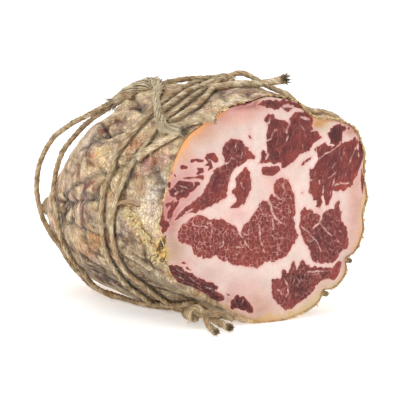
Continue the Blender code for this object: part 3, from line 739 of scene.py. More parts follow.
# Patches as (angle, depth, reach round the meat, reach along it, colour, strength), reaches in millimetres;
# the shadow brown ones are painted shade in hollows and beside the twine
PATCHES = [
    (128, 55, 9, 8, "rose", 0.9), (144, 56, 9, 12, "plum", 0.55), (146, 66, 8, 8, "grey", 0.9),
    (147.5, 47, 4, 10, "beige", 0.9), (155.5, 50, 6, 8, "ochre", 0.9), (158, 59, 4, 5, "brick", 0.95),
    (155, 80, 9, 14, "olive", 0.7), (160, 104, 7, 7, "brick", 0.8), (151, 34, 7, 7, "brick", 0.85),
    (148, 29, 6, 5, "tan", 0.6), (155, 10, 9, 10, "rose", 0.95), (158, 18, 7, 3, "plum", 0.8),
    (168, 57, 7, 8, "plum", 0.85), (170, 54, 4, 6, "brick", 0.6), (163, 52, 4, 10, "beige", 0.8),
    (-178, 66, 8, 9, "rose", 0.8), (-163, 70, 13, 16, "tan", 0.95), (-176, 38, 12, 6, "cream", 0.8),
    (166, 39, 6, 6, "ochre", 0.8), (-171, 27, 13, 9, "grey", 0.95), (-166, 30, 8, 6, "plum", 0.5),
    (176, 22, 6, 8, "olive", 0.6), (166, 7, 12, 9, "bloom", 0.9), (-176, 7, 8, 6, "bloom", 0.85),
    (-174, 13, 5, 5, "ochre", 0.7), (-166, 8, 8, 5, "ochre", 0.75), (-160, 26, 7, 12, "beige", 0.8),
    (-150, 34, 14, 16, "olive", 0.8), (-137, 36, 12, 16, "grey", 0.7), (-122, 20, 20, 16, "beige", 0.9),
    (-108, 10, 14, 10, "beige", 0.9), (-128, 14, 10, 5, "olive", 0.7), (178, 95, 6, 12, "shadow_brown", 0.7),
    (172, 88, 5, 12, "grey", 0.7), (-170, 100, 12, 16, "grey", 0.6), (-150, 100, 18, 16, "olive", 0.6),
    (120, 30, 14, 14, "beige", 0.6), (100, 16, 16, 12, "bloom", 0.6), (118, 8, 10, 6, "bloom", 0.7),
    (-155, 12, 10, 9, "umber", 0.7), (-163, 22, 7, 6, "umber", 0.7), (-168, 23, 5, 7, "brown", 0.55),
    (-166, 32, 6, 4.5, "shadow_brown", 0.6), (-171, 31, 6, 5, "dusk", 0.85), (-174.5, 28, 5, 5, "dusk", 0.7),
    (-171, 37, 5, 5, "brown", 0.5), (-164, 44, 8, 7, "brown", 0.5), (-141, 60, 16, 18, "umber", 0.75),
    (-150, 50, 12, 10, "umber", 0.6), (-147, 74, 9, 9, "umber", 0.55), (-154, 77, 7, 7, "umber", 0.5),
    (-134, 124, 14, 16, "umber", 0.7), (171, 61, 6, 5, "plum", 0.85), (170.5, 73, 4, 5, "brown", 0.7),
    (174.5, 76, 4, 5, "brown", 0.6), (171, 51, 5, 4.5, "russet", 0.8), (-178, 58, 6, 6, "russet", 0.8),
    (153.7, 23.5, 3, 4, "umber", 0.95), (149, 21, 4, 4, "brown", 0.7), (156, 23, 3, 4, "umber", 0.7),
    (166.5, 37, 7, 4.5, "cream", 0.7), (162, 26, 4, 4, "cream", 0.7), (163, 41, 4, 4, "cream", 0.7),
    (164, 6, 8, 5, "bloom", 0.75), (177, 13, 6, 5, "bloom", 0.7), (-179.5, 13, 4, 5, "cream", 0.7),
    (-176, 7, 5, 4, "bloom", 0.6), (-172, 94, 5, 5, "cream", 0.6), (-169, 56, 6, 7, "tan", 0.7),
    (-163, 82, 6, 7, "tan", 0.7), (-161.6, 34, 4, 4, "cream", 0.6), (-172, 9, 5, 4, "cream", 0.6),
    (137, 52, 5, 5, "russet", 0.8), (130, 47, 4, 5, "umber", 0.9), (122, 57, 5, 5, "umber", 0.7),
    (145, 18, 3, 3, "umber", 0.7), (-150, 98, 12, 12, "umber", 0.5), (158.5, 95, 5, 6, "russet", 0.7),
    (152, 124, 5, 6, "russet", 0.7), (-175, 121, 6, 7, "tan", 0.5), (157, 10, 4, 4, "russet", 0.7),
    (-148, 27, 13, 15, "umber", 0.7), (-135, 34, 14, 15, "umber", 0.75), (-128, 60, 16, 20, "umber", 0.6),
    (111, 4.5, 8, 3.2, "cream", 0.9), (104, 4.5, 7, 3.2, "bloom", 0.9), (97.5, 5, 7, 3.5, "cream", 0.85),
    (117, 6, 4, 3, "tan", 0.7), (104, 13, 14, 4.5, "russet", 0.6), (90, 14, 12, 5, "dusk", 0.6),
    (126, 61, 5, 5, "tan", 0.85), (130, 62, 4, 4, "rose", 0.7), (128, 53, 2.5, 3, "shadow_brown", 0.8),
    (119.5, 52, 6, 4, "plum", 0.7), (-165, 39, 9, 7, "umber", 0.8), (-166, 31, 7, 5, "umber", 0.95),
    (-163, 20, 8, 7, "umber", 0.85), (-163, 12.5, 6, 5, "umber", 0.8), (-155, 10, 8, 6, "umber", 0.9),
    (-150, 6, 6, 4, "umber", 0.8), (-144, 1.5, 7, 5, "umber", 0.8), (-149, 56, 11, 8, "umber", 0.95),
    (-141, 60, 13, 10, "umber", 0.85), (-153, 20, 8, 8, "umber", 0.75), (-144, 25, 8, 8, "umber", 0.75),
    (-146, 76, 9, 7, "umber", 0.75), (-140, 75, 9, 8, "umber", 0.8), (-133, 59, 8, 8, "umber", 0.8),
    (-160.5, 50.7, 4.5, 4, "umber", 0.85), (-170, 37, 5, 5, "umber", 0.8),
    (-173.8, 35.5, 4, 4, "umber", 0.7),
    (-174.6, 28.5, 4, 3.5, "umber", 0.6), (171, 40, 7, 3.5, "ochre", 0.9),
    (-179, 39.5, 9, 3.5, "cream", 0.95),
    (-172, 42.5, 7, 3.5, "ochre", 0.9), (-155, 56.5, 5, 5, "brown", 0.6), (-138, 122, 9, 8, "brown", 0.7),
    (-177.4, 49.2, 4, 4, "cream", 0.9), (-173.5, 50.5, 4, 3.5, "cream", 0.8),
    (-169, 60.5, 5, 4, "cream", 0.7),
    (-161.6, 34.5, 3.5, 3, "cream", 0.9), (166, 24.9, 3.5, 3.5, "cream", 0.95),
    (166.7, 38, 3.5, 4, "cream", 0.8),
    (162, 26.4, 3.5, 3.5, "cream", 0.9), (162.6, 41.8, 3.5, 3.5, "cream", 0.7),
    (164, 7, 6, 5, "bloom", 0.95),
    (163.4, 1.5, 4, 3, "bloom", 0.9), (160.2, 8.4, 3.5, 3.5, "beige", 0.9), (174, 29.3, 4, 4, "tan", 0.8),
    (153.7, 23.9, 3, 3, "shadow_brown", 0.75), (149, 20.7, 3, 3, "shadow_brown", 0.55), (146.6, 3.9, 4, 4, "brown", 0.9),
    (142.6, 52.7, 4, 4, "russet", 0.9), (137, 52, 4, 4, "russet", 0.9), (136, 39.8, 3, 4, "tan", 0.8),
    (150.5, 70, 5, 5, "bloom", 0.9), (151.4, 60, 4, 4, "cream", 0.8), (174.5, 76, 4, 4, "brown", 0.8),
    (170.5, 73, 4.5, 4.5, "umber", 0.9), (133, 21, 2.5, 2.5, "shadow_brown", 0.8), (144, 19.5, 2.5, 3, "shadow_brown", 0.7),
    (124, 17, 2.5, 3, "shadow_brown", 0.6), (60, 70, 24, 20, "tan", 0.5), (20, 60, 22, 22, "grey", 0.6),
    (-10, 90, 20, 24, "ochre", 0.5),
    (40, 110, 20, 20, "plum", 0.5), (80, 90, 20, 22, "olive", 0.6), (-40, 60, 22, 20, "rose", 0.5),
    (-70, 90, 24, 24, "bloom", 0.5), (10, 20, 18, 12, "ochre", 0.5), (50, 20, 16, 14, "brick", 0.45),
    (-60, 20, 18, 14, "tan", 0.5), (100, 110, 20, 20, "grey", 0.6), (0, 130, 20, 20, "brick", 0.35),
]
# Painted shade on the underside, which is darker: its angle, how far that spreads and how much darker
UNDERSIDE_SHADE = (-138, 23, 0.36)
# The mixed colours are drawn apart from their middle one, and the whole is a touch warmer
MIDDLE_COLOUR = linear(178, 150, 120)
SPREAD = 1.35
WARM_LIGHT = np.array([1.06, 1.0, 0.94])


def covered(colour, cover, name):
    """The colour with a share of a named one over it."""
    cover = np.clip(cover, 0, 1)[..., None]
    return colour * (1 - cover) + SKIN_COLOURS[name] * cover


def soft_step(value, low, high):
    return eased(np.clip((value - low) / (high - low), 0, 1))


def skin_colour(angle, behind, places, near):
    """The mixed colour of the casing at each place."""
    degrees = np.degrees(angle) + 0 * behind
    behind = behind + 0 * angle
    radius = radius_at(angle, behind)
    drawn = places * LENGTHWISE
    colour = SKIN_COLOURS["beige"] + 0 * places
    colour = covered(colour, soft_step(soft_noise(drawn, 14.0, 7), -0.5, 0.6), "olive")
    for number, (cell, start, name, strength) in enumerate(BLOTCHES[:5]):
        edge = soft_noise(drawn, cell, 60 + number) + 0.25 * soft_noise(drawn, 2.0, 61 + number)
        colour = covered(colour, strength * soft_step(edge, start, start + 0.22), name)
    ragged = 0.50 * soft_noise(places, 4.0, 11) + 0.30 * soft_noise(places, 1.8, 12)
    worn = 0.72 + 0.28 * soft_noise(places, 2.6, 13)
    for at, where, round_it, along_it, name, strength in PATCHES:
        x = np.radians(wrapped(degrees - at)) * radius / round_it
        gap = np.hypot(x, (behind - where) / along_it)
        colour = covered(colour, strength * worn * soft_step(1.2 - gap + ragged, 0, 0.8), name)
    for number, (cell, start, name, strength) in enumerate(BLOTCHES[5:]):
        edge = soft_noise(drawn, cell, 70 + number) + 0.25 * soft_noise(drawn, 1.5, 71 + number)
        colour = covered(colour, strength * soft_step(edge, start, start + 0.2), name)
    # Painted shade: the wrinkles are darkened, and the casing outside them is made a little lighter
    folded = wrinkles(places)
    colour = covered(colour, 0.55 * soft_step(folded, 0.12, 0.8), "shadow_brown")
    colour = covered(colour, 0.30 * soft_step(-folded, -0.03, 0.0), "cream")
    # Painted shade along the creases that cut in, and a painted highlight in cream along those that stand up
    for points, deep, half_width in CREASES:
        gap = line_on_skin(degrees, behind, radius, points)
        crease_shade = min(0.6 * max(deep, 0), 0.72)
        colour = covered(colour, crease_shade * np.exp(-((gap / (0.7 * half_width)) ** 2)), "shadow_brown")
        colour = covered(colour, 0.5 * max(-deep, 0) * np.exp(-((gap / half_width) ** 2)), "cream")
    # Painted shade: a dark band on the casing just beside each strand of twine, where the twine shades it
    colour = covered(colour, 0.55 * np.exp(-(((near - 1.3) / 0.9) ** 2)), "shadow_brown")
    # Painted shade: the underside is made darker
    at, spread, share = UNDERSIDE_SHADE
    underside_shade = share * np.exp(-((wrapped(degrees - at) / spread) ** 2))
    colour = np.maximum(MIDDLE_COLOUR + SPREAD * (colour - MIDDLE_COLOUR), 0.02)
    return colour * WARM_LIGHT * (1 - underside_shade[..., None])


print("patches", len(PATCHES))

# %% [markdown]
# The rows of the grid are about a millimetre apart. They start with the torn lip: four rings that come out
# of the face, turn over and run back. Towards the far end the rows follow the dome, closer together where
# it curves faster, down to the gathered tip.

# %% Casing mesh
CASING_COLUMNS = 400
STRAIGHT_ROWS = 112
DOME_FROM = 118.0
DOME_ROWS = 50
LIP_INSETS = [1.0, 0.75, 0.4, 0.05]
LIP_SHARES = [-0.8, 0.75, 1.0, 0.6]
# Inward reach of the lip: angle in degrees, share of the insets
LIP_WIDTHS = [
    (0, 0.5), (60, 0.6), (70, 0.25), (100, 0.3), (118, 0.3), (150, 0.3), (165, 0.8), (180, 0.9),
    (203, 1.0), (210, 1.6), (216, 2.8), (226, 3.3), (235, 3.0), (241, 1.8), (250, 1.0), (270, 1.0),
    (315, 0.8), (345, 0.5), (360, 0.5),
]
# How golden the torn edge is, by angle, and the share of that on each ring
LIP_GILDING = [
    (0, 0.9), (60, 1.0), (120, 0.8), (180, 0.8), (200, 0.6), (208, 0.12), (245, 0.12), (262, 0.7),
    (360, 0.9),
]
GILDED_RINGS = np.array([1, 1, 1, 0.6])
LIP_NOISE_RADIUS = 60
LIP_REACH = 0.45
LIP_RAGGED = 0.35
FIRST_ROW = 0.5


def lip_circle(angle):
    """Places on a circle round the cut, to read noise at."""
    return LIP_NOISE_RADIUS * np.stack([np.cos(angle), np.sin(angle), 0 * angle], axis=-1)


def lip_reach(angle):
    """How far the torn edge of the casing stands in front of the cut."""
    ring = lip_circle(angle)
    ragged = soft_noise(ring, 5.0, 20) + 0.6 * soft_noise(ring, 1.9, 21)
    return LIP_REACH + LIP_RAGGED * np.clip(ragged, -1, 1.4)


def build_casing():
    """The casing as one grid of rings, from the torn lip to the tip."""
    straight = np.linspace(FIRST_ROW, DOME_FROM, STRAIGHT_ROWS)
    start = np.arcsin(DOME_FROM / LENGTH)
    dome = LENGTH * np.sin(np.linspace(start, np.pi / 2, DOME_ROWS + 2)[1:-1])
    rows = np.concatenate([straight, dome])[:, None]
    angles = np.linspace(-np.pi, np.pi, CASING_COLUMNS, endpoint=False)[None, :]
    plain = meat_point(angles, rows)
    lift, near = casing_relief(angles, rows, plain)
    body = meat_point(angles, rows, lift)
    colour = skin_colour(angles, rows, plain, near)
    reach = lip_reach(angles[0])
    at, widths = np.array(LIP_WIDTHS, float).T
    width = np.interp(np.degrees(angles[0]) % 360, at, widths)
    width = width * (1 + 0.25 * soft_noise(lip_circle(angles[0]), 3.0, 22))
    lips = []
    for inset, share in zip(LIP_INSETS, LIP_SHARES):
        ring = meat_point(angles[0], 0.0, -inset * width)
        ring[:, 1] = -reach * share
        lips.append(ring)
    points = np.concatenate([np.array(lips), body])
    colours = np.concatenate([np.repeat(colour[:1], len(lips), axis=0), colour])
    edge = np.zeros(points.shape[:2])
    at, gilding = np.array(LIP_GILDING, float).T
    gilding = np.interp(np.degrees(angles[0]) % 360, at, gilding)
    edge[: len(lips)] = GILDED_RINGS[:, None] * gilding
    tip = np.array([[TIP_SHIFT, LENGTH, TIP_HEIGHT]])
    count = points.shape[0]
    flat = in_model(np.vstack([points.reshape(-1, 3), tip]))
    faces = ring_faces(count, CASING_COLUMNS, flip=True)
    last = (count - 1) * CASING_COLUMNS
    for i in range(CASING_COLUMNS):
        faces.append((last + (i + 1) % CASING_COLUMNS, last + i, len(flat) - 1))
    piece = add_piece("casing", flat, faces, "meat")
    paint(piece.data, "skin_colour", np.vstack([colours.reshape(-1, 3), colours[-1, :1]]))
    paint(piece.data, "torn_edge", np.append(edge.ravel(), 0))
    print("casing", len(flat), "points")
    return piece


casing = build_casing()

# %% [markdown]
# The casing ends in a short gathered neck, squeezed by the turns of twine round it. It is a tube whose
# radius rises and falls round it, so it reads as many small pleats.

# %% Gathered tip
PLEATS_ROUND_TIP = 9
TIP_RINGS = 26
TIP_SIDES = 54
TIP_END_SHARE = 0.25
PLEAT_DEPTH = 0.10


def cross_frames(path):
    """Two directions square to a path at each point, turned as little as possible from point to point."""
    along = np.gradient(path, axis=0)
    along /= np.linalg.norm(along, axis=1, keepdims=True)
    side = np.cross(along[0], [0.0, 0.0, 1.0])
    if np.linalg.norm(side) < 0.1:
        side = np.cross(along[0], [0.0, 1.0, 0.0])
    sides = []
    for direction in along:
        side = side - direction * (side @ direction)
        side = side / np.linalg.norm(side)
        sides.append(side)
    sides = np.array(sides)
    return sides, np.cross(along, sides)


def ring_directions(path, count):
    """Angles round a path, and the direction of each of them at each point."""
    side, top = cross_frames(path)
    angle = np.linspace(0, 2 * np.pi, count, endpoint=False)
    round_it = angle[None, :, None]
    return angle, np.cos(round_it) * side[:, None] + np.sin(round_it) * top[:, None]


def build_tip():
    """The gathered neck as a pleated tube with a narrow end."""
    share = np.linspace(0, 1, TIP_RINGS)
    middle = nub_point(share)
    thick = np.interp(share, np.linspace(0, 1, len(NUB_THICKNESS)), NUB_THICKNESS) * NUB_RADIUS
    angle, ring = ring_directions(middle, TIP_SIDES)
    pleat = 1 + PLEAT_DEPTH * np.cos(PLEATS_ROUND_TIP * angle[None, :] + 3 * share[:, None])
    radius = thick[:, None] * pleat
    radius[-1] *= TIP_END_SHARE
    points = in_model(middle[:, None] + radius[..., None] * ring).reshape(-1, 3)
    faces = ring_faces(TIP_RINGS, TIP_SIDES)
    faces.append(list(range((TIP_RINGS - 1) * TIP_SIDES, TIP_RINGS * TIP_SIDES)))
    piece = add_piece("gathered_tip", points, faces, "meat")
    greyness = np.clip(0.5 + 0.5 * soft_noise(points, 3.0, 30), 0, 1)[:, None]
    colour = SKIN_COLOURS["grey"] * greyness + SKIN_COLOURS["olive"] * (1 - greyness)
    paint(piece.data, "skin_colour", colour)
    paint(piece.data, "torn_edge", np.zeros(len(points)))
    return piece


gathered_tip = build_tip()

# %% [markdown]
# ## The cut
#
# A coppa is not one muscle but a bundle of them, with fat between. Each muscle was outlined as
# (across, up) in millimetres on the cut. For every point of a fine mesh the code then works out how far
# inside or outside the nearest outline it lies. That signed distance is worth more than a plain mask:
# where it passes through zero the material draws a sharp edge at any zoom, and noise added to it makes the
# edge lobed like real muscle.

# %% Muscles
# Each muscle: how dark it is, how much of a net and how many streaks its marbling has, the way of its
# grain in degrees from across, and its outline
MUSCLES = {
    "eye": (0.28, 1.0, 0.3, 100, [
        (-48.8, 43.4), (-47.6, 46.0), (-45.8, 48.3), (-44.0, 49.3), (-41.9, 50.7), (-40.2, 51.2),
        (-37.2, 51.7),
        (-34.3, 51.2), (-32.1, 50.6), (-30.0, 49.5), (-26.6, 49.8), (-23.6, 49.3), (-21.9, 47.8),
        (-19.3, 46.6),
        (-16.8, 45.2), (-14.6, 42.7), (-13.1, 43.6), (-12.3, 46.0), (-9.1, 47.5), (-7.0, 50.4), (-5.3, 52.3),
        (-3.5, 54.6), (-1.4, 56.8), (0.3, 56.1), (1.0, 56.3), (2.3, 57.6), (3.1, 58.8), (4.9, 58.4),
        (4.6, 60.9),
        (4.6, 62.6), (5.3, 63.9), (7.4, 65.4), (9.5, 66.2), (11.2, 65.6), (12.5, 65.0), (13.8, 63.0),
        (15.1, 60.9),
        (15.9, 59.0), (16.6, 55.7), (17.0, 52.3), (16.7, 48.9), (15.9, 47.2), (16.6, 45.1), (16.8, 42.9),
        (17.8, 40.4), (18.5, 39.1), (18.1, 37.8), (16.3, 35.3), (14.2, 32.7), (12.1, 30.0), (10.4, 29.1),
        (8.2, 28.9), (6.5, 27.8), (4.4, 27.1), (2.3, 28.3), (0.6, 28.2), (-1.8, 27.1), (-3.5, 25.9),
        (-5.3, 25.8),
        (-8.2, 26.3), (-11.7, 26.8), (-14.2, 27.6), (-16.8, 28.0), (-19.3, 28.4), (-21.5, 29.9),
        (-23.6, 30.1),
        (-25.7, 31.0), (-27.0, 32.5), (-29.6, 32.7), (-31.3, 32.2), (-33.0, 32.0), (-34.7, 32.3),
        (-35.3, 33.8),
        (-36.8, 33.3), (-39.0, 34.4), (-40.2, 36.1), (-41.1, 38.5), (-43.2, 39.1), (-46.2, 40.2),
        (-48.3, 41.7),
    ]),
    "head": (0.66, 0.4, 0.35, 50, [
        (-24.0, 80.2), (-23.6, 81.5), (-22.3, 83.7), (-20.0, 84.7), (-16.8, 85.0), (-15.1, 84.7),
        (-12.9, 83.2),
        (-11.4, 81.4), (-9.5, 80.2), (-7.4, 78.1), (-6.1, 76.4), (-5.7, 75.2), (-6.5, 74.6), (-9.1, 75.4),
        (-11.2, 74.7), (-12.9, 73.8), (-15.1, 72.6), (-17.2, 71.3), (-18.9, 69.6), (-20.0, 66.6),
        (-20.8, 63.6),
        (-21.4, 61.0), (-21.2, 59.8), (-23.6, 58.1), (-27.0, 56.8), (-30.0, 55.9), (-34.3, 54.6),
        (-38.1, 53.5),
        (-40.2, 53.1), (-43.5, 53.0), (-47.0, 51.5), (-50.5, 50.4), (-47.9, 52.9), (-44.9, 55.5),
        (-41.9, 57.2),
        (-39.0, 58.9), (-35.5, 61.0), (-33.0, 64.5), (-31.3, 67.0), (-29.6, 70.0), (-27.9, 72.1),
        (-25.7, 73.0),
        (-24.3, 73.4), (-22.8, 74.6), (-23.4, 76.4), (-24.0, 78.1),
    ]),
    "small_crescent": (0.35, 0.25, 0.35, 75, [
        (-10.4, 71.9), (-9.1, 69.6), (-8.2, 66.6), (-8.0, 63.6), (-8.7, 60.6), (-10.2, 57.6), (-12.5, 55.1),
        (-15.1, 53.8), (-17.6, 53.6), (-19.3, 54.1), (-18.5, 55.5), (-16.8, 56.8), (-16.8, 58.5),
        (-18.9, 60.6),
        (-18.9, 61.7), (-17.2, 62.7), (-16.3, 64.9), (-16.8, 67.0), (-15.1, 69.1), (-12.9, 70.9),
        (-11.2, 71.9),
    ]),
    "top": (0.7, 0.15, 0.4, 82, [
        (-0.9, 92.7), (-0.1, 94.4), (1.8, 95.5), (4.0, 95.0), (5.3, 93.5), (7.8, 92.7), (10.4, 92.3),
        (12.1, 91.3),
        (13.4, 92.6), (15.1, 94.4), (17.6, 95.7), (20.2, 95.9), (23.2, 95.2), (25.3, 93.8), (27.0, 92.0),
        (27.0, 90.8), (26.6, 89.1), (28.0, 87.2), (29.6, 85.7), (31.7, 83.9), (32.8, 82.9), (30.9, 82.2),
        (28.7, 81.8), (27.0, 80.5), (25.7, 78.4), (23.6, 77.3), (21.0, 76.7), (18.9, 75.6), (17.2, 74.1),
        (15.1, 72.4), (12.5, 71.1), (10.4, 70.3), (9.3, 70.2), (9.1, 72.4), (6.5, 72.4), (4.4, 72.6),
        (2.7, 73.3),
        (0.0, 73.2), (-2.0, 73.1), (-4.4, 73.0), (-2.9, 74.3), (-2.3, 76.4), (-2.7, 78.1), (-1.8, 79.2),
        (-0.6, 78.6), (0.3, 77.5), (0.8, 78.2), (0.6, 80.1), (0.3, 83.5), (0.1, 86.1), (0.9, 87.8),
        (1.0, 89.9),
        (0.1, 91.6),
    ]),
    "top_lobe": (0.4, 0.1, 0.2, 10, [
        (-2.5, 70.0), (-2.0, 68.2), (0.6, 67.1), (4.4, 67.4), (7.0, 68.3), (8.4, 70.2), (6.0, 71.5),
        (0.5, 71.5),
        (-1.6, 71.3),
    ]),
    "top_rim": (0.8, 0.2, 0.3, 150, [
        (-4.5, 99.6), (-2.0, 101.6), (2.3, 102.0), (6.5, 101.6), (10.0, 101.5), (14.0, 101.0), (18.0, 99.8),
        (21.0, 97.6), (24.5, 94.9), (22.0, 96.1), (18.5, 97.6), (16.0, 98.0), (14.2, 96.6), (11.8, 95.9),
        (9.8, 97.2), (8.0, 98.6), (6.5, 97.2), (3.0, 97.8), (0.0, 98.5), (-2.0, 99.0),
    ]),
    "right_knob": (1.15, 0.05, 0.2, 80, [
        (35.7, 84.3), (36.2, 85.3), (37.2, 86.0), (37.4, 87.2), (38.8, 88.0), (40.0, 88.6), (41.5, 89.2),
        (43.0, 88.9), (44.0, 88.2), (45.2, 88.0), (46.2, 87.3), (46.0, 86.2), (45.0, 85.6), (45.0, 83.5),
        (44.9, 81.5), (44.4, 80.2), (42.0, 79.5), (40.0, 79.2), (37.5, 79.4), (36.5, 80.2), (37.0, 81.6),
        (36.4, 83.0),
    ]),
    "upper_right": (0.57, 0.12, 1.0, 66, [
        (27.9, 78.4), (29.6, 79.3), (32.1, 79.7), (34.3, 80.5), (36.4, 79.6), (39.8, 79.6), (42.4, 79.7),
        (44.9, 80.3), (47.5, 80.7), (50.1, 81.4), (51.8, 82.6), (53.0, 81.8), (53.5, 79.7), (53.2, 77.5),
        (53.9, 75.0), (54.7, 72.4), (55.0, 69.9), (55.0, 67.3), (53.9, 65.2), (52.2, 62.6), (50.1, 60.5),
        (47.5, 58.8), (44.9, 57.9), (41.5, 57.5), (39.6, 58.0), (38.8, 57.6), (38.3, 55.8), (37.7, 53.7),
        (36.4, 51.9), (35.1, 51.5), (34.3, 53.2), (33.5, 56.0), (32.7, 55.6), (32.2, 52.8), (31.7, 50.2),
        (30.2, 50.7), (29.1, 51.5), (29.8, 53.2), (29.4, 54.6), (27.9, 54.1), (27.4, 54.9), (27.7, 56.2),
        (25.7, 57.1), (24.9, 59.2), (25.1, 61.3), (25.2, 62.6), (24.9, 64.3), (25.3, 65.6), (25.1, 68.6),
        (25.3, 69.4), (27.4, 69.7), (28.3, 70.7), (29.6, 72.4), (30.2, 74.1), (29.4, 76.3), (28.1, 77.5),
    ]),
    "islet": (0.35, 0.05, 0.2, 40, [
        (20.0, 70.9), (21.9, 72.9), (24.5, 74.1), (27.2, 74.8), (25.7, 73.7), (23.6, 72.3), (21.5, 70.9),
    ]),
    "right_middle": (0.58, 0.5, 0.55, 125, [
        (20.2, 49.8), (21.5, 51.5), (22.7, 51.9), (23.6, 50.8), (25.3, 50.0), (27.4, 49.8), (28.3, 48.5),
        (30.0, 47.6), (30.9, 47.0), (31.8, 45.3), (32.8, 46.3), (33.8, 48.5), (36.0, 49.5), (38.1, 49.8),
        (39.2, 49.1), (40.0, 50.8), (41.1, 52.7), (42.4, 53.0), (43.2, 51.0), (43.7, 47.6), (44.1, 44.6),
        (44.9, 43.4), (45.4, 41.3), (47.0, 41.2), (47.5, 38.7), (48.3, 34.4), (48.6, 31.8), (47.5, 30.1),
        (44.9, 29.5), (43.2, 28.0), (41.5, 25.9), (40.7, 24.7), (38.1, 24.4), (34.7, 24.6), (31.3, 24.8),
        (28.3, 25.4), (26.6, 27.1), (25.7, 29.3), (25.3, 31.0), (24.5, 32.7), (23.2, 34.4), (21.9, 36.1),
        (20.6, 39.1), (19.3, 41.7), (19.5, 43.4), (19.8, 45.9), (20.0, 48.1),
    ]),
    "lower_right": (0.78, 0.4, 0.6, 75, [
        (4.0, 19.5), (5.7, 19.9), (7.4, 19.3), (8.2, 18.4), (8.9, 19.9), (8.9, 22.9), (9.7, 23.9),
        (10.8, 23.5),
        (12.1, 22.0), (12.9, 21.4), (13.6, 22.0), (14.2, 25.0), (15.1, 26.7), (16.3, 26.5), (17.2, 24.6),
        (17.9, 22.5), (18.7, 22.9), (19.3, 25.4), (20.6, 26.9), (22.3, 26.4), (23.6, 25.0), (25.3, 24.5),
        (25.8, 23.5), (30.0, 23.3), (34.3, 22.5), (38.1, 22.5), (40.2, 23.3), (42.0, 25.0), (43.6, 25.0),
        (44.2, 23.7), (43.9, 21.6), (42.8, 19.0), (41.1, 16.9), (39.0, 16.3), (36.4, 16.7), (33.8, 16.5),
        (32.1, 16.1), (30.0, 14.3), (27.9, 12.5), (26.2, 10.5), (23.6, 9.2), (20.6, 8.2), (18.1, 6.7),
        (15.1, 5.4),
        (12.5, 4.4), (11.2, 4.3), (9.9, 5.8), (7.8, 7.5), (6.1, 8.8), (4.4, 10.5), (3.5, 12.6), (3.5, 15.6),
        (3.8, 17.8),
    ]),
    "lower_left": (1.45, 0.3, 0.5, 148, [
        (-53.9, 30.1), (-52.6, 30.7), (-50.9, 30.6), (-48.8, 30.3), (-47.1, 30.1), (-45.4, 28.6),
        (-44.1, 27.7),
        (-41.9, 26.8), (-39.0, 24.7), (-35.5, 23.0), (-32.1, 21.5), (-30.0, 21.3), (-28.3, 20.4),
        (-27.0, 18.6),
        (-27.2, 17.0), (-25.7, 15.8), (-24.0, 14.9), (-23.2, 13.5), (-23.6, 12.3), (-25.7, 11.8),
        (-28.3, 11.6),
        (-30.4, 13.1), (-32.1, 14.8), (-34.7, 16.4), (-38.1, 17.8), (-41.5, 19.0), (-44.9, 20.4),
        (-48.3, 22.2),
        (-50.9, 24.4), (-52.6, 26.9), (-53.7, 28.6),
    ]),
    "bottom": (1.9, 0.15, 0.5, 112, [
        (-20.0, 9.6), (-19.3, 11.4), (-17.6, 13.1), (-16.8, 14.3), (-15.1, 14.3), (-13.8, 13.4),
        (-12.1, 13.0),
        (-10.4, 11.8), (-8.7, 9.7), (-7.2, 7.5), (-7.0, 5.6), (-8.2, 4.9), (-9.9, 5.5), (-11.7, 6.7),
        (-13.8, 7.0),
        (-15.5, 7.9), (-17.6, 7.6), (-19.3, 8.0),
    ]),
    "left_cluster": (0.95, 0.2, 0.3, 15, [
        (-48.1, 67.8), (-45.2, 67.8), (-42.9, 67.4), (-40.4, 67.1), (-39.8, 66.6), (-39.1, 66.8),
        (-36.9, 66.4), (-36.5, 65.4), (-37.7, 64.6), (-38.4, 64), (-39, 63), (-40.3, 62.4),
        (-41.8, 62.3), (-42.3, 61.1), (-44.4, 60.4), (-46.4, 60.3), (-48.5, 59.8), (-49.5, 59.5),
        (-49, 60.6), (-50.2, 60.9), (-51, 60.7), (-52.5, 61.2), (-52.8, 62.9), (-53.5, 64.4),
        (-52, 64.8), (-50.8, 65.2), (-50.5, 66.4), (-49.5, 66.7),
    ]),
}
print("muscles:", ", ".join(MUSCLES))

# %% [markdown]
# Between and inside the muscles run seams of fat, and round them lie scraps of lean. Both are lines with a
# width: rows of (across, up, half width), and the same distance to a line serves both.

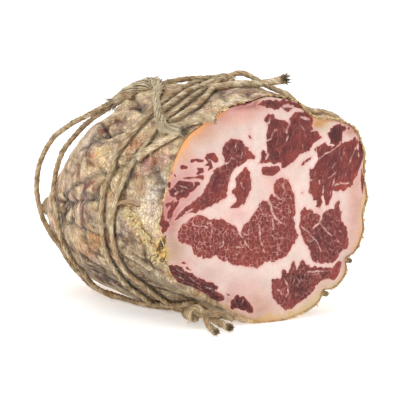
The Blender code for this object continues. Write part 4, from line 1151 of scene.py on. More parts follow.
# %% Seams of fat and scraps of lean
SEAMS = [
    [(1.4, 56.4, 0.9), (3.1, 53.6, 0.7), (3.5, 50.7, 0.6), (5.5, 48, 0.6), (7.8, 46, 0.5),
     (10.2, 44.5, 0.35), (12, 44, 0.1)],
    [(4, 47.5, 0.4), (4.4, 44.5, 0.45), (4.5, 42.5, 0.2)],
    [(-14.6, 42.5, 0.9), (-13.8, 41, 0.5), (-12.5, 39.5, 0.35), (-10.8, 37, 0.35), (-9, 35, 0.3),
     (-7.8, 34, 0.25)],
    [(-3.6, 45, 0.3), (-3.1, 42, 0.5), (-3.2, 39.5, 0.5), (-2.5, 37, 0.35), (-1.5, 35.3, 0.25)],
    [(-1.2, 33.6, 0.4), (-0.3, 32.5, 0.35)],
    [(-37.2, 43.5, 0.25), (-37, 46, 0.3), (-35.5, 47, 0.32), (-33.5, 46.8, 0.3), (-32, 45.6, 0.3)],
    [(-30.5, 48, 0.25), (-29.5, 46, 0.35), (-28.3, 45, 0.25)],
    [(-41, 47.8, 0.2), (-37, 47, 0.25)],
    [(-43.5, 42, 0.4), (-42, 43, 0.3)],
    [(-24, 40, 0.35), (-23.5, 38.5, 0.3), (-24, 37, 0.32), (-26, 36.5, 0.25)],
    [(-16.5, 36, 0.35), (-14, 35.7, 0.3)],
    [(-19, 44.5, 0.25), (-17, 43, 0.32), (-16, 41.5, 0.25)],
    [(4.9, 58.3, 0.8), (6.5, 57.5, 0.5), (7.8, 56.2, 0.4), (9.5, 56, 0.35)],
    [(10.6, 65.9, 0.6), (10.6, 64, 0.3), (9.8, 62.5, 0.3), (10.8, 60.6, 0.35), (11.6, 59.3, 0.2)],
    [(13.1, 91.6, 0.9), (13.2, 90, 0.5), (12.1, 88.5, 0.45), (11.7, 87, 0.75), (12, 86.2, 0.3)],
    [(12.7, 85, 0.4), (11.9, 83.3, 0.5), (11.8, 82.3, 0.25)],
    [(0.6, 83.3, 0.3), (2.8, 84, 0.35), (3.6, 86.1, 0.35), (5.3, 88.1, 0.28), (7, 87.8, 0.15)],
    [(1.2, 76.9, 0.9), (0.6, 75.6, 0.7), (-0.2, 74.6, 0.3)],
    [(2.2, 93.3, 0.5), (1.9, 91.8, 0.7), (0.8, 91, 0.5)],
    [(20.2, 89.3, 0.15), (21.8, 87.5, 0.32)],
    [(28, 87, 0.7), (26, 86.5, 0.3)],
    [(28.3, 90.8, 0.8), (26.8, 90.5, 0.3)],
    [(21, 80.5, 0.25), (21.3, 78.3, 0.3)],
    [(25.8, 77.3, 0.5), (23, 75.6, 0.2)],
    [(20.3, 93.2, 0.6), (22.3, 92.7, 0.9), (24.5, 92, 0.6)],
    [(10, 98.7, 0.8), (12.5, 98.7, 1.1), (15.2, 98.2, 0.7)],
    [(30.2, 73.3, 0.3), (32.5, 74.5, 0.42), (34.3, 75.6, 0.42), (37, 76.3, 0.32), (40, 77.8, 0.32),
     (42.4, 79.2, 0.4), (43.5, 80.4, 0.8)],
    [(48, 70.4, 0.25), (48.8, 70.9, 0.5), (49.5, 72.5, 0.5), (50.8, 74.8, 0.45), (52, 76.8, 0.45),
     (53.2, 78.8, 0.4)],
    [(38.3, 68.6, 0.32), (39.2, 69.8, 0.38), (40.5, 71, 0.25)],
    [(36, 64, 0.25), (38, 65, 0.35), (39.8, 66.3, 0.25)],
    [(39.4, 63.5, 0.4), (39.2, 61.8, 0.6), (38.2, 60.3, 0.35)],
    [(30.8, 63.2, 0.45), (31, 61.9, 0.4)],
    [(24.8, 64, 0.8), (27, 63.8, 0.4), (28.5, 64.5, 0.15)],
    [(39.8, 60.6, 0.5), (43, 61.4, 0.5), (46, 61, 0.4), (48.3, 61.2, 0.35)],
    [(33, 57.5, 0.6), (33.3, 60.5, 0.3)],
    [(33.5, 66.5, 0.2), (34.5, 68, 0.28)],
    [(43.5, 73.5, 0.28), (43.8, 72, 0.25)],
    [(31.8, 45.5, 0.9), (30.8, 43.5, 0.5), (28.6, 42.2, 0.65), (27.6, 41.5, 0.55)],
    [(31.5, 43.8, 0.35), (33, 42, 0.38), (34.7, 40, 0.42), (36.5, 38.5, 0.28), (38.2, 37.2, 0.42),
     (38.2, 36, 0.15)],
    [(40.5, 36, 0.15), (42, 34.5, 0.3), (44.2, 32.8, 0.28)],
    [(20.8, 42.7, 0.32), (23, 41, 0.38), (25.3, 39.3, 0.3)],
    [(25.5, 38.3, 0.25), (28.3, 36.6, 0.48), (29.5, 35, 0.38), (31, 32.5, 0.3), (32, 30.5, 0.32)],
    [(24, 36, 0.3), (25.5, 35.4, 0.48), (27, 35.5, 0.38), (28.3, 36.6, 0.38)],
    [(30, 26, 0.38), (30.5, 24.6, 0.5)],
    [(43, 39, 0.3), (44, 38.5, 0.32)],
    [(10.4, 19.6, 0.38), (11.7, 17.8, 0.42), (12.9, 15.8, 0.38), (12.7, 14, 0.45), (13.3, 12.2, 0.55),
     (11.8, 11.2, 0.35)],
    [(6.6, 14.7, 0.32), (8.4, 13.8, 0.45), (9.3, 12.3, 0.3)],
    [(18.7, 18.3, 0.28), (19.3, 16.8, 0.36), (20.5, 18, 0.28), (21.3, 17.2, 0.2)],
    [(14.5, 20.5, 0.28), (14.8, 18.5, 0.25)],
    [(24.5, 21.5, 0.5), (27, 21, 0.48), (30, 21.2, 0.42), (33, 21, 0.38), (36.8, 20.6, 0.2)],
    [(26, 19.6, 0.2), (31, 20, 0.28)],
    [(21, 21.5, 0.28), (23.5, 19.5, 0.28)],
    [(-24.8, 74, 0.8), (-23, 74.2, 0.6), (-21, 74.3, 0.32), (-19.2, 76.5, 0.32), (-17.5, 75.8, 0.2)],
    [(-17, 81, 0.38), (-16.5, 83.3, 0.25)],
    [(-13.7, 76, 0.22), (-13, 79, 0.25)],
    [(-43.8, 53.4, 0.9), (-41.5, 54.5, 0.55), (-39.5, 55.4, 0.3)],
    [(-25.5, 70.8, 0.28), (-25.3, 73.3, 0.5)],
    [(-12, 62, 0.22), (-13.2, 63.2, 0.32), (-13.8, 65.5, 0.25)],
    [(-49.5, 28.6, 0.14), (-47, 27.6, 0.18), (-44, 26, 0.12)],
    [(-50.5, 26.2, 0.12), (-48, 25.2, 0.2), (-45, 23.6, 0.14)],
    [(-42.5, 24.8, 0.12), (-39.5, 22.4, 0.18), (-36, 21, 0.12)],
    [(-34, 19.6, 0.14), (-31, 18.4, 0.2), (-29, 17.9, 0.12)],
    [(-41, 21.2, 0.12), (-38, 20, 0.16), (-35.5, 18.4, 0.12)],
    [(-28.2, 17.4, 0.5), (-26.2, 16.6, 0.5)],
    [(-12.5, 11.5, 0.35), (-13.5, 10, 0.25)],
    [(-48, 66, 0.25), (-45.4, 65.2, 0.4), (-44.1, 64.9, 0.45), (-42.9, 64, 0.25)],
    [(-46.7, 63.3, 0.4), (-45.7, 63.7, 0.25)],
    [(-49.6, 62.3, 0.6), (-48.4, 63, 0.4), (-47, 63.2, 0.25)],
    [(-39.9, 66.5, 0.4), (-39.6, 65, 0.25)],
    [(-50.2, 64.8, 0.25), (-48.7, 63.9, 0.2)],
]
SCRAPS = [
    [(-46, 74, 1), (-43.6, 73.7, 0.7)],
    [(-40.6, 76.4, 0.9), (-38.3, 76.9, 0.6), (-36.5, 76.2, 0.7), (-34.3, 76, 0.4)],
    [(-32, 78.2, 1.2), (-29.5, 77.8, 1.8), (-27.8, 76.3, 1.4)],
    [(-33.6, 77.4, 0.5), (-32.2, 76.5, 0.8)],
    [(-31, 75.5, 0.8), (-30.2, 73.2, 1), (-31.7, 72.1, 0.5)],
    [(-34, 73.9, 0.3), (-32, 74.4, 0.6)],
    [(-37.6, 72.8, 0.5), (-35.2, 71.8, 1.2), (-38, 70.6, 0.5)],
    [(-45.5, 69, 0.3), (-41, 68.9, 0.5), (-38, 68.9, 0.5), (-35.3, 68.8, 1.1)],
    [(-53, 67, 0.8), (-52.8, 65.5, 0.7)],
    [(-54.3, 57.6, 0.8), (-53.2, 57.7, 0.9), (-51.9, 58.3, 0.6), (-50.9, 59.3, 0.35)],
    [(-53.8, 56.9, 0.5), (-53.8, 56.4, 0.5)],
    [(-48.3, 58.3, 0.7), (-49.2, 57, 0.6), (-50.3, 55.6, 0.35)],
    [(-56.2, 58.2, 0.6), (-56.8, 55.8, 0.8), (-57, 53, 1)],
    [(-51.2, 57.8, 0.6), (-51.9, 55.3, 1.2), (-52.6, 54, 1.3), (-53.4, 52.2, 0.9)],
    [(-49.6, 58.6, 0.3), (-50.6, 56, 0.45), (-51.6, 52.6, 0.35), (-52.8, 50, 0.2)],
    [(-56.2, 52, 0.9), (-56.9, 49.8, 1.6), (-55.6, 49.2, 2), (-54.3, 49, 1.5)],
    [(-55, 48.6, 1.3), (-55.2, 47.2, 1.4), (-56.3, 46.8, 1), (-56.2, 45, 0.4)],
    [(-51.3, 72.4, 0.4), (-51.8, 71.2, 0.4)],
    [(-50, 70.6, 0.6), (-49.6, 70.2, 0.4)],
    [(-9.3, 85.8, 0.35), (-8.4, 84.9, 0.3)],
    [(20.8, 58.2, 0.3), (21.2, 58.2, 0.3)],
    [(-46.8, 31.3, 0.25), (-44.9, 31.1, 0.45), (-43.6, 30.6, 0.1)],
    [(-43.6, 28.7, 0.5), (-41.5, 27.5, 0.5)],
    [(-21.6, 15, 0.25), (-20.4, 14.4, 0.45)],
    [(45.6, 87, 0.5), (45.4, 85.8, 0.5)],
    [(54.6, 80, 0.6), (55.2, 77.5, 1.2), (55.6, 74.5, 1.4), (55.3, 71.5, 1.1), (54.4, 69, 0.9)],
    [(47.9, 86.6, 0.5), (48.7, 88, 0.45)],
    [(51.2, 84.3, 0.3), (52.2, 85.6, 0.55), (53.4, 86, 0.4)],
    [(56, 67, 0.4), (56.3, 62, 0.8), (56.6, 58, 0.7), (56.5, 55.8, 0.3)],
    [(-24, 98.6, 0.3), (-18, 100, 0.5), (-12, 100.6, 0.7), (-8.5, 101.2, 0.5)],
]
# Places where the lean is a brighter red: across, up, reach, strength
BRIGHT_LEAN = [
    (-46, 64, 6, 0.15),
    (-28, 77.5, 3, 0.9), (-8.5, 77.5, 3.5, 0.8), (45, 59.3, 5, 1.0), (30.5, 83.5, 3.5, 0.8),
    (22, 47, 3, 0.6),
    (46.5, 33, 3, 0.6), (6, 14, 5, 0.6), (41, 20, 4.5, 0.7), (52, 63.5, 3.5, 0.7), (28, 60, 4, 0.45),
    (-10, 27.5, 8, 0.35), (10, 63, 5, 0.35), (-11, 70.5, 2, 0.8), (-35.3, 68.8, 1.5, 0.7),
    (-23, 59.5, 4, 0.6),
    (15, 73.5, 4, 0.5), (20, 77.5, 5, 0.3), (14, 6, 4, 0.5), (-38, 55, 6, 0.4),
]
# Places where the fat is tinted: across, up, reach across, reach up, colour, strength
FAT_TINTS = [
    (-25, 96.3, 3.2, 2, (226, 120, 84), 0.95), (-15, 98, 9, 2.4, (214, 140, 130), 0.9),
    (-14, 94, 12, 3.5, (232, 186, 172), 0.75), (-9, 86.5, 2, 5, (226, 176, 166), 0.6),
    (-3, 99, 6, 2, (206, 130, 124), 0.6), (-37, 88, 8, 4, (230, 190, 160), 0.7),
    (-45, 78, 4, 8, (226, 180, 162), 0.6), (-51, 56, 6, 6, (206, 124, 122), 0.75),
    (-52, 66, 3, 6, (200, 120, 116), 0.6), (-36, 73, 9, 5, (224, 178, 170), 0.6),
    (-48, 43, 7, 6, (206, 182, 166), 0.8), (-46, 33, 9, 5, (216, 186, 172), 0.6),
    (-17, 17, 8, 5, (226, 176, 166), 0.7), (-8, 12, 6, 8, (226, 182, 168), 0.7),
    (-44, 31, 6, 3, (214, 160, 154), 0.6), (34, 89, 4, 3.5, (222, 202, 172), 0.8),
    (49, 85.8, 4.5, 3, (184, 110, 84), 0.75), (52, 62, 3, 4, (226, 180, 166), 0.5),
    (53, 46, 5, 10, (222, 188, 174), 0.6), (26.5, 90.5, 1.6, 4, (170, 96, 92), 0.7),
    (20.5, 92.6, 4.5, 2, (206, 172, 178), 0.9), (12.5, 98.6, 4, 1.6, (206, 190, 188), 0.9),
    (30, 8, 10, 4, (216, 188, 148), 0.8), (-30, 58, 18, 12, (236, 206, 196), 0.4),
    (6, 64, 9, 5.5, (226, 172, 164), 0.7), (21, 40, 4, 20, (236, 206, 196), 0.4),
    (30, 48.5, 3, 3, (228, 170, 160), 0.6), (45, 27, 3, 3, (214, 206, 190), 0.6),
    (-36, 89, 10, 5.5, (214, 160, 134), 0.8), (-24, 94.5, 8, 4, (216, 158, 142), 0.8),
    (-12, 97, 8, 3.5, (222, 160, 148), 0.8), (-44, 80, 4, 7, (228, 172, 140), 0.75),
    (-42, 68, 7, 9, (213, 160, 152), 0.8), (-46, 60, 8, 7, (210, 155, 147), 0.8),
    (-51, 46, 4.5, 8, (206, 166, 150), 0.85), (-51, 35, 5, 5, (202, 169, 146), 0.8),
    (-32, 25, 10, 4, (214, 175, 165), 0.7), (-21, 12, 4, 3, (196, 157, 145), 0.8),
    (-2, 7, 10, 4.5, (204, 160, 140), 0.8), (51, 42, 4.5, 16, (220, 172, 158), 0.8),
    (34, 13, 6, 5, (215, 178, 152), 0.8), (40, 54, 3, 4, (219, 188, 182), 0.7),
    (56, 50, 2, 5, (206, 158, 134), 0.8), (46, 23, 3, 4, (211, 160, 139), 0.8),
    (-14, 99.6, 8, 1.3, (132, 54, 40), 0.95), (-5.5, 100.6, 2.5, 2, (150, 66, 48), 0.8),
    (-54, 53.5, 4.6, 7, (176, 92, 94), 0.95), (-50.5, 58, 3.5, 3, (206, 128, 122), 0.7),
    (52, 56, 4, 12, (214, 158, 142), 0.6), (-50, 38, 5, 7, (190, 150, 124), 0.6),
    (-16, 50.5, 9, 5, (226, 174, 166), 0.65), (-4, 10, 9, 6, (206, 160, 142), 0.5),
    (-47, 64.5, 6.5, 5, (192, 112, 108), 0.8), (-4, 103, 1.6, 2, (222, 170, 130), 0.8),
    (30, 89.5, 5, 2.4, (206, 140, 62), 0.85),
    (25.5, 91, 1.6, 2.6, (204, 176, 80), 0.9), (-53, 53.5, 4.2, 6, (178, 98, 98), 0.75),
]
# The rind under the casing: angle in degrees, width in millimetres, colour
RIND = [
    (0, 3.5, (222, 184, 136)), (15, 1.3, (192, 120, 84)), (25, 1.5, (186, 112, 66)),
    (40, 1.8, (168, 108, 74)),
    (56, 3.6, (214, 166, 106)), (70, 1.2, (140, 92, 74)), (90, 1.2, (160, 118, 92)),
    (110, 1.0, (176, 112, 92)),
    (121, 3.0, (226, 146, 98)), (128, 4.2, (230, 160, 106)), (135, 4.6, (232, 164, 106)),
    (146, 4.2, (238, 168, 98)),
    (158, 3.2, (232, 168, 112)), (172, 1.5, (226, 150, 104)), (183, 1.9, (224, 160, 96)),
    (197, 3.0, (204, 170, 96)), (205, 1.2, (186, 156, 122)), (211, 1.6, (176, 152, 122)),
    (217, 3.0, (168, 144, 106)), (227, 3.6, (160, 136, 98)), (236, 3.2, (158, 130, 92)),
    (242, 3.6, (192, 154, 108)),
    (250, 3.6, (176, 138, 92)), (258, 2.6, (170, 134, 86)), (270, 5.0, (208, 166, 118)),
    (285, 5.0, (216, 182, 134)),
    (300, 4.5, (206, 180, 136)), (315, 3.6, (214, 184, 150)), (330, 2.2, (206, 158, 122)),
    (345, 4.2, (218, 170, 134)), (360, 3.5, (222, 184, 136)),
]
print("seams", len(SEAMS), "scraps", len(SCRAPS))

# %% [markdown]
# The mesh of the cut is a set of rings that shrink from the rim to the middle. It isn't dead flat: the
# knife left it slightly wavy, the fat stands a little proud of the drier lean, and the seams stand up with
# the fat.

# %% Mesh of the cut
CUT_COLUMNS = 560
CUT_RINGS = 118
RING_POWER = 0.9
FACE_INSET = 0.12
PROUD_STEP = 1.2
PALE_FAT = (234, 210, 200)
COOL_FAT = (222, 198, 186)
RIM_INSET = 0.8
NEAR_MARGIN = 5.0
FAT_PROUD = 0.22
KNIFE_WAVE = 0.16
# Darkness, net, streaks, grain and how ragged the edge is, for the scraps and where there is no lean
SCRAP_LEAN = (0.95, 0.1, 0.2, 30.0, 0.45)
NO_LEAN = (0.4, 0.0, 0.0, 0.0, 1.0)
# The fat is duller towards the rim: by what share, and how far in
RIM_DULL = 0.16
DULL_REACH = 13.0


def outside_line(places, line, closed=False):
    """Distance of each (across, up) place to a line, less the line's own half width."""
    line = np.array(line, float)
    if line.shape[1] == 2:
        line = np.column_stack([line, np.zeros(len(line))])
    if closed:
        line = np.vstack([line, line[:1]])
    best = np.full(len(places), NEAR_MARGIN)
    low, high = line[:, :2].min(0) - NEAR_MARGIN, line[:, :2].max(0) + NEAR_MARGIN
    close = np.all((places > low) & (places < high), axis=1)
    some = places[close]
    found = best[close]
    for start, end in zip(line[:-1], line[1:]):
        run = end[:2] - start[:2]
        share = np.clip((some - start[:2]) @ run / max(run @ run, 1e-9), 0, 1)
        gap = np.linalg.norm(some - start[:2] - share[:, None] * run, axis=1)
        found = np.minimum(found, gap - start[2] - (end[2] - start[2]) * share)
    best[close] = found
    return best


def inside_outline(places, outline):
    """Whether each place lies inside a closed outline, by counting the edges to its right."""
    odd = np.zeros(len(places), bool)
    for (x0, z0), (x1, z1) in zip(outline, np.roll(outline, -1, axis=0)):
        if z0 != z1:
            spans = (z0 > places[:, 1]) != (z1 > places[:, 1])
            odd ^= spans & (places[:, 0] < (x1 - x0) * (places[:, 1] - z0) / (z1 - z0) + x0)
    return odd


def meat_layers(places):
    """Signed depth in lean and in seams, and what kind of lean is nearest, for places on the cut."""
    depth = np.full(len(places), -NEAR_MARGIN)
    kind = np.tile(NO_LEAN, (len(places), 1))
    for tone, net, streaks, grain, outline in MUSCLES.values():
        smooth = smooth_path(outline, closed=True, per_span=3)
        gap = outside_line(places, smooth, closed=True)
        signed = np.where(inside_outline(places, smooth), gap, -gap)
        kind[signed > depth] = (tone, net, streaks, grain, 1.0)
        depth = np.maximum(depth, signed)
    for line in SCRAPS:
        signed = -outside_line(places, line)
        kind[signed > depth] = SCRAP_LEAN
        depth = np.maximum(depth, signed)
    seam = np.full(len(places), -NEAR_MARGIN)
    for line in SEAMS:
        seam = np.maximum(seam, -outside_line(places, line))
    return depth, kind, seam


def fat_colours(places, to_rim, angle):
    """The colour of the fat at each place: pale in the middle, tinted in spots, and rind at the rim."""
    flat = np.column_stack([places, 0 * angle])
    share = np.clip(0.5 + 0.7 * soft_noise(flat, 9.0, 40), 0, 1)[:, None]
    colour = linear(*PALE_FAT) * share + linear(*COOL_FAT) * (1 - share)
    for x, z, reach_x, reach_z, seen, strength in FAT_TINTS:
        gap = np.hypot((places[:, 0] - x) / reach_x, (places[:, 1] - z) / reach_z)
        cover = (strength * np.exp(-(gap**2)))[:, None]
        colour = colour * (1 - cover) + linear(*seen) * cover
    colour = colour * (1 - RIM_DULL * np.exp(-to_rim / DULL_REACH))[:, None]
    degrees = np.degrees(angle) % 360
    table = np.array([(at, width, *linear(*seen)) for at, width, seen in RIND])
    width = np.interp(degrees, table[:, 0], table[:, 1])
    rind = np.stack([np.interp(degrees, table[:, 0], table[:, 2 + i]) for i in range(3)], axis=1)
    ragged = soft_noise(flat, 2.2, 41)
    cover = eased(np.clip(1.25 - to_rim / width + 0.35 * ragged, 0, 1))[:, None]
    return colour * (1 - cover) + rind * cover


def build_cut():
    """The cut as rings from the rim to the middle, with what it is made of stored at every point."""
    share = np.linspace(1, 0, CUT_RINGS + 1)[:-1] ** RING_POWER
    angles = np.linspace(-np.pi, np.pi, CUT_COLUMNS, endpoint=False)
    rim = meat_point(angles, 0.0, -RIM_INSET)
    middle = np.array([0.0, 0.0, AXIS_HEIGHT])
    points = (middle + share[:, None, None] * (rim - middle)).reshape(-1, 3)
    points = np.vstack([points, middle])
    places = points[:, [0, 2]]
    angle = np.arctan2(places[:, 1] - AXIS_HEIGHT, places[:, 0])
    reach = np.hypot(places[:, 0], places[:, 1] - AXIS_HEIGHT)
    to_rim = cut_radius(angle) - reach
    depth, kind, seam = meat_layers(places)
    grain = np.radians(kind[:, 3])
    grain_along = places[:, 0] * np.cos(grain) + places[:, 1] * np.sin(grain)
    grain_across = places[:, 1] * np.cos(grain) - places[:, 0] * np.sin(grain)
    bright = np.zeros(len(places))
    for x, z, spread, strength in BRIGHT_LEAN:
        gap = np.hypot(places[:, 0] - x, places[:, 1] - z) / spread
        bright = np.maximum(bright, strength * np.exp(-(gap**2)))
    lean = np.clip(0.5 + np.minimum(depth, -seam) / PROUD_STEP, 0, 1)
    wave = soft_noise(points, 26.0, 42) + 0.4 * soft_noise(points, 7.0, 43)
    points[:, 1] = KNIFE_WAVE * wave + FAT_PROUD * lean + FACE_INSET
    faces = ring_faces(CUT_RINGS, CUT_COLUMNS)
    last = (CUT_RINGS - 1) * CUT_COLUMNS
    for i in range(CUT_COLUMNS):
        faces.append((last + i, last + (i + 1) % CUT_COLUMNS, len(points) - 1))
    piece = add_piece("cut_face", in_model(points), faces, "meat")
    for name, values in (
        ("lean_depth", depth), ("seam_depth", seam), ("darkness", kind[:, 0]), ("net", kind[:, 1]),
        ("streaks", kind[:, 2]), ("ragged", kind[:, 4]), ("grain_along", grain_along),
        ("grain_across", grain_across), ("bright_red", bright),
        ("fat_colour", fat_colours(places, to_rim, angle)),
    ):
        paint(piece.data, name, values)
    print("cut", len(points), "points,", round(100 * float((depth > 0).mean())), "% lean")
    return piece


cut_face = build_cut()

# %% [markdown]
# ## The twine
#
# Butcher's twine is three loose plies of rough fibre laid round each other. At this size the twist shows
# as slanting light and shade, so each strand is built as real plies: three tubes that wind round the
# strand's own line. Every ply keeps four numbers at each point: how light it is, how far along it is, how
# far round it, and how deep it lies in the twist. The material turns these into fibres and into painted
# shade between the plies.

# %% Tubes and plies
PLIES = 3
PLY_RADIUS = 0.86
PLY_OFFSET = 0.50
TWIST_LENGTH = 10.5
PLY_SIDES = 8
PLY_STEP = 0.85
FLOOR_CLEAR = 0.12
CHANCE_SEED = 7
HAIR_POINTS = 6
HAIR_RADII = (0.075, 0.035)
chance = np.random.default_rng(CHANCE_SEED)


def tube(path, radius, sides, tone, depth, along):
    """A tube round a path, with its tone, depth in the twist and length along the strand."""
    angle, ring = ring_directions(path, sides)
    radius = np.broadcast_to(radius, len(path))
    grid = path[:, None] + radius[:, None, None] * ring
    return {
        "grid": grid, "tone": np.broadcast_to(tone, len(path)), "depth": depth + 0 * grid[..., 0],
        "along": np.broadcast_to(along, len(path)), "around": angle / (2 * np.pi),
    }


def add_tubes(name, tubes, node):
    """All tubes of one strand as one mesh, with their numbers stored at its points."""
    points, faces, tone, depth, along, around = [], [], [], [], [], []
    start = 0
    for one in tubes:
        rows, sides = one["grid"].shape[:2]
        points.append(one["grid"].reshape(-1, 3))
        faces.extend(ring_faces(rows, sides, start))
        faces.append(list(range(start + sides - 1, start - 1, -1)))
        faces.append(list(range(start + (rows - 1) * sides, start + rows * sides)))
        tone.append(np.repeat(one["tone"], sides))
        along.append(np.repeat(one["along"], sides))
        around.append(np.tile(one["around"], rows))
        depth.append(one["depth"].ravel())
        start += rows * sides
    points = np.vstack(points)
    points[:, 2] = np.maximum(points[:, 2], FLOOR_CLEAR)
    piece = add_piece(name, in_model(points), faces, node)
    for label, parts in (("tone", tone), ("twist_depth", depth), ("along", along), ("around", around)):
        paint(piece.data, label, np.concatenate(parts))
    return piece


def ply_tubes(route, tone, phase):
    """Three plies wound round a strand's route of (x, y, z, thickness) rows."""
    route = evenly_spaced(route, PLY_STEP)
    path, thick = route[:, :3], route[:, 3]
    side, top = cross_frames(path)
    along = np.concatenate([[0], np.cumsum(np.linalg.norm(np.diff(path, axis=0), axis=1))])
    slow = soft_noise(np.column_stack([along, 0 * along, 0 * along + 9 * phase]), 12.0, 50)
    tubes = []
    for ply in range(PLIES):
        turn = 2 * np.pi * (along / TWIST_LENGTH + ply / PLIES + 0.12 * slow) + phase
        lead = np.cos(turn)[:, None] * side + np.sin(turn)[:, None] * top
        loose = soft_noise(np.column_stack([along, 0 * along + 5 * ply, 0 * along + phase]), 4.0, 51)
        middle = path + lead * (thick * PLY_OFFSET * (1 + 0.10 * loose))[:, None]
        radius = PLY_RADIUS * thick * (1 + 0.08 * loose)
        one = tube(middle, radius, PLY_SIDES, tone + 0.07 * (ply - 1) + 0.05 * slow, 0.0, along)
        # Painted shade: the ply is darker where it lies deep in the twist, near the strand's middle
        from_axis = np.linalg.norm(one["grid"] - path[:, None], axis=-1)
        one["depth"] = np.clip(1 - from_axis / (TWINE_RADIUS * thick[:, None]), 0, 1)
        tubes.append(one)
    return tubes


def fuzz_tubes(route, tone, per_mm, reach, rise=0.42, coarse=1.0, curl=0.35):
    """Short hairs that stand off a strand, or lie along it where they hardly rise."""
    route = evenly_spaced(route, 1.0)
    path, thick = route[:, :3], route[:, 3]
    side, top = cross_frames(path)
    tubes = []
    for _ in range(round(per_mm * len(path))):
        at = chance.integers(1, len(path) - 2)
        turn = chance.uniform(0, 2 * np.pi)
        lead = np.cos(turn) * side[at] + np.sin(turn) * top[at]
        forward = (path[at + 1] - path[at]) * chance.choice([-1, 1])
        forward = forward / np.linalg.norm(forward)
        length = reach * chance.uniform(0.4, 1.3)
        bend = chance.normal(0, curl, 3)
        share = np.linspace(0, 1, HAIR_POINTS)[:, None]
        start = path[at] + lead * TWINE_RADIUS * thick[at] * 0.85
        hair = start + length * (share * (0.8 * forward + rise * lead) + share**2 * bend)
        radius = coarse * np.linspace(*HAIR_RADII, HAIR_POINTS)
        tubes.append(tube(hair, radius, 3, tone + 0.25, 0.0, share[:, 0]))
    return tubes


# %% [markdown]
# Where the twine is unravelled or cut, it falls apart into many fine fibres. A fibre is one more tube,
# which keeps its own place in the cross-section of the bundle and wanders a little. At a cut end the
# fibres spread, and the ones in the middle carry painted shadow, which is why a cut end looks like a dark
# ring; in a bundle the middle fibres carry painted shade too. The fibres are set round the middle by the
# golden angle, which fills a disc evenly for any number of them.

# %% Bundles and cut ends
FIBRE_STEP = 1.3
BUNDLE_TURN = 46.0
GOLDEN_ANGLE = 2.399963
END_STEP = 0.6
END_ROOT = 1.6
END_RADII = (0.24, 0.10)


def fibre_tubes(route, tone, count, radius, wander, grow=1.0):
    """Many fibres side by side along a route; they fill its thickness."""
    route = evenly_spaced(route, FIBRE_STEP)
    path, thick = route[:, :3], route[:, 3]
    side, top = cross_frames(path)
    along = np.arange(len(path)) * FIBRE_STEP
    tubes = []
    for number in range(count):
        share = np.sqrt((number + 0.5) / count)
        turn = GOLDEN_ANGLE * number + 2 * np.pi * along / BUNDLE_TURN
        wave = np.column_stack([along, 0 * along + 3.1 * number, 0 * along])
        turn = turn + 0.5 * soft_noise(wave, 11.0, 52)
        reach = TWINE_RADIUS * thick * share * grow + wander * soft_noise(wave, 6.0, 53)
        middle = path + np.cos(turn)[:, None] * side * reach[:, None]
        middle = middle + np.sin(turn)[:, None] * top * reach[:, None]
        thickness = radius * (0.75 + 0.5 * chance.random()) * (1 + 0.2 * soft_noise(wave, 3.0, 54))
        # Painted shade: fibres nearer the middle of the bundle are darker
        depth = np.clip(0.75 - share, 0, 1)
        tubes.append(tube(middle, thickness, 5, tone + chance.normal(0, 0.10), depth, along))
    return tubes


def end_tubes(route, tone, from_end, count, reach, spread, shadow=1.15):
    """The brush of fibres at a cut end of a strand."""
    route = evenly_spaced(route, END_STEP)
    if from_end:
        route = route[::-1]
    tip, before = route[0, :3], route[4, :3]
    thick = TWINE_RADIUS * route[0, 3]
    forward = (tip - before) / np.linalg.norm(tip - before)
    side, top = cross_frames(np.array([before, tip, tip + forward]))
    tubes = []
    for number in range(count):
        share = np.sqrt((number + 0.5) / count)
        turn = GOLDEN_ANGLE * number
        lead = np.cos(turn) * side[0] + np.sin(turn) * top[0]
        length = reach * chance.uniform(0.5, 1.1) * (0.55 + 0.45 * share)
        step = np.linspace(0, 1, HAIR_POINTS)[:, None]
        flare = spread * share * step**2 * lead * length
        curl = chance.normal(0, 0.16, 3) * step**2 * length
        root = tip - forward * END_ROOT + lead * thick * 0.86 * share
        hair = root + step * forward * (length + END_ROOT) + flare + curl
        # Painted shadow: fibres nearer the middle of the cut end are darker
        depth = np.clip(shadow - 1.1 * share, 0, 1)
        radius = np.linspace(*END_RADII, HAIR_POINTS) * chance.uniform(0.8, 1.3)
        tubes.append(tube(hair, radius, 4, tone + chance.normal(0, 0.08), depth, step[:, 0]))
    return tubes


# %% [markdown]
# The knots are turns of twine over the crossing. Each is a helix round the stretch that it holds, tight
# enough for its turns to touch.

# %% Knots
KNOT_STEP = 0.5
POINTS_TO_A_TURN = 24


def wrap_route(route, turns, radius, thick):
    """A helix of twine round a route, as a route of its own."""
    route = evenly_spaced(route, KNOT_STEP)
    share = np.linspace(0, 1, len(route))
    side, top = cross_frames(route[:, :3])
    fine = np.linspace(0, 1, POINTS_TO_A_TURN * turns)
    middle, side, top = (
        np.stack([np.interp(fine, share, column) for column in rows.T], axis=1)
        for rows in (route[:, :3], side, top)
    )
    turn = 2 * np.pi * turns * fine
    places = middle + radius * (np.cos(turn)[:, None] * side + np.sin(turn)[:, None] * top)
    return np.column_stack([places, np.full(len(fine), thick)])


STRAND_TONES = {
    "loop_outer": 0.34, "loop_inner": 0.36, "band_back": 0.46, "band_front": 0.5, "top_far": 0.4,
    "top_near": 0.62, "top_rim": 0.55, "top_end": 0.6, "side_end": 0.66, "cheek_end": 0.62,
    "rope_upper": 0.55, "rope_lower": 0.55, "rope_top": 0.45, "lower_knot": 0.4, "lower_end_long": 0.36,
    "lower_end_short": 0.42, "lower_end_inner": 0.38,
}
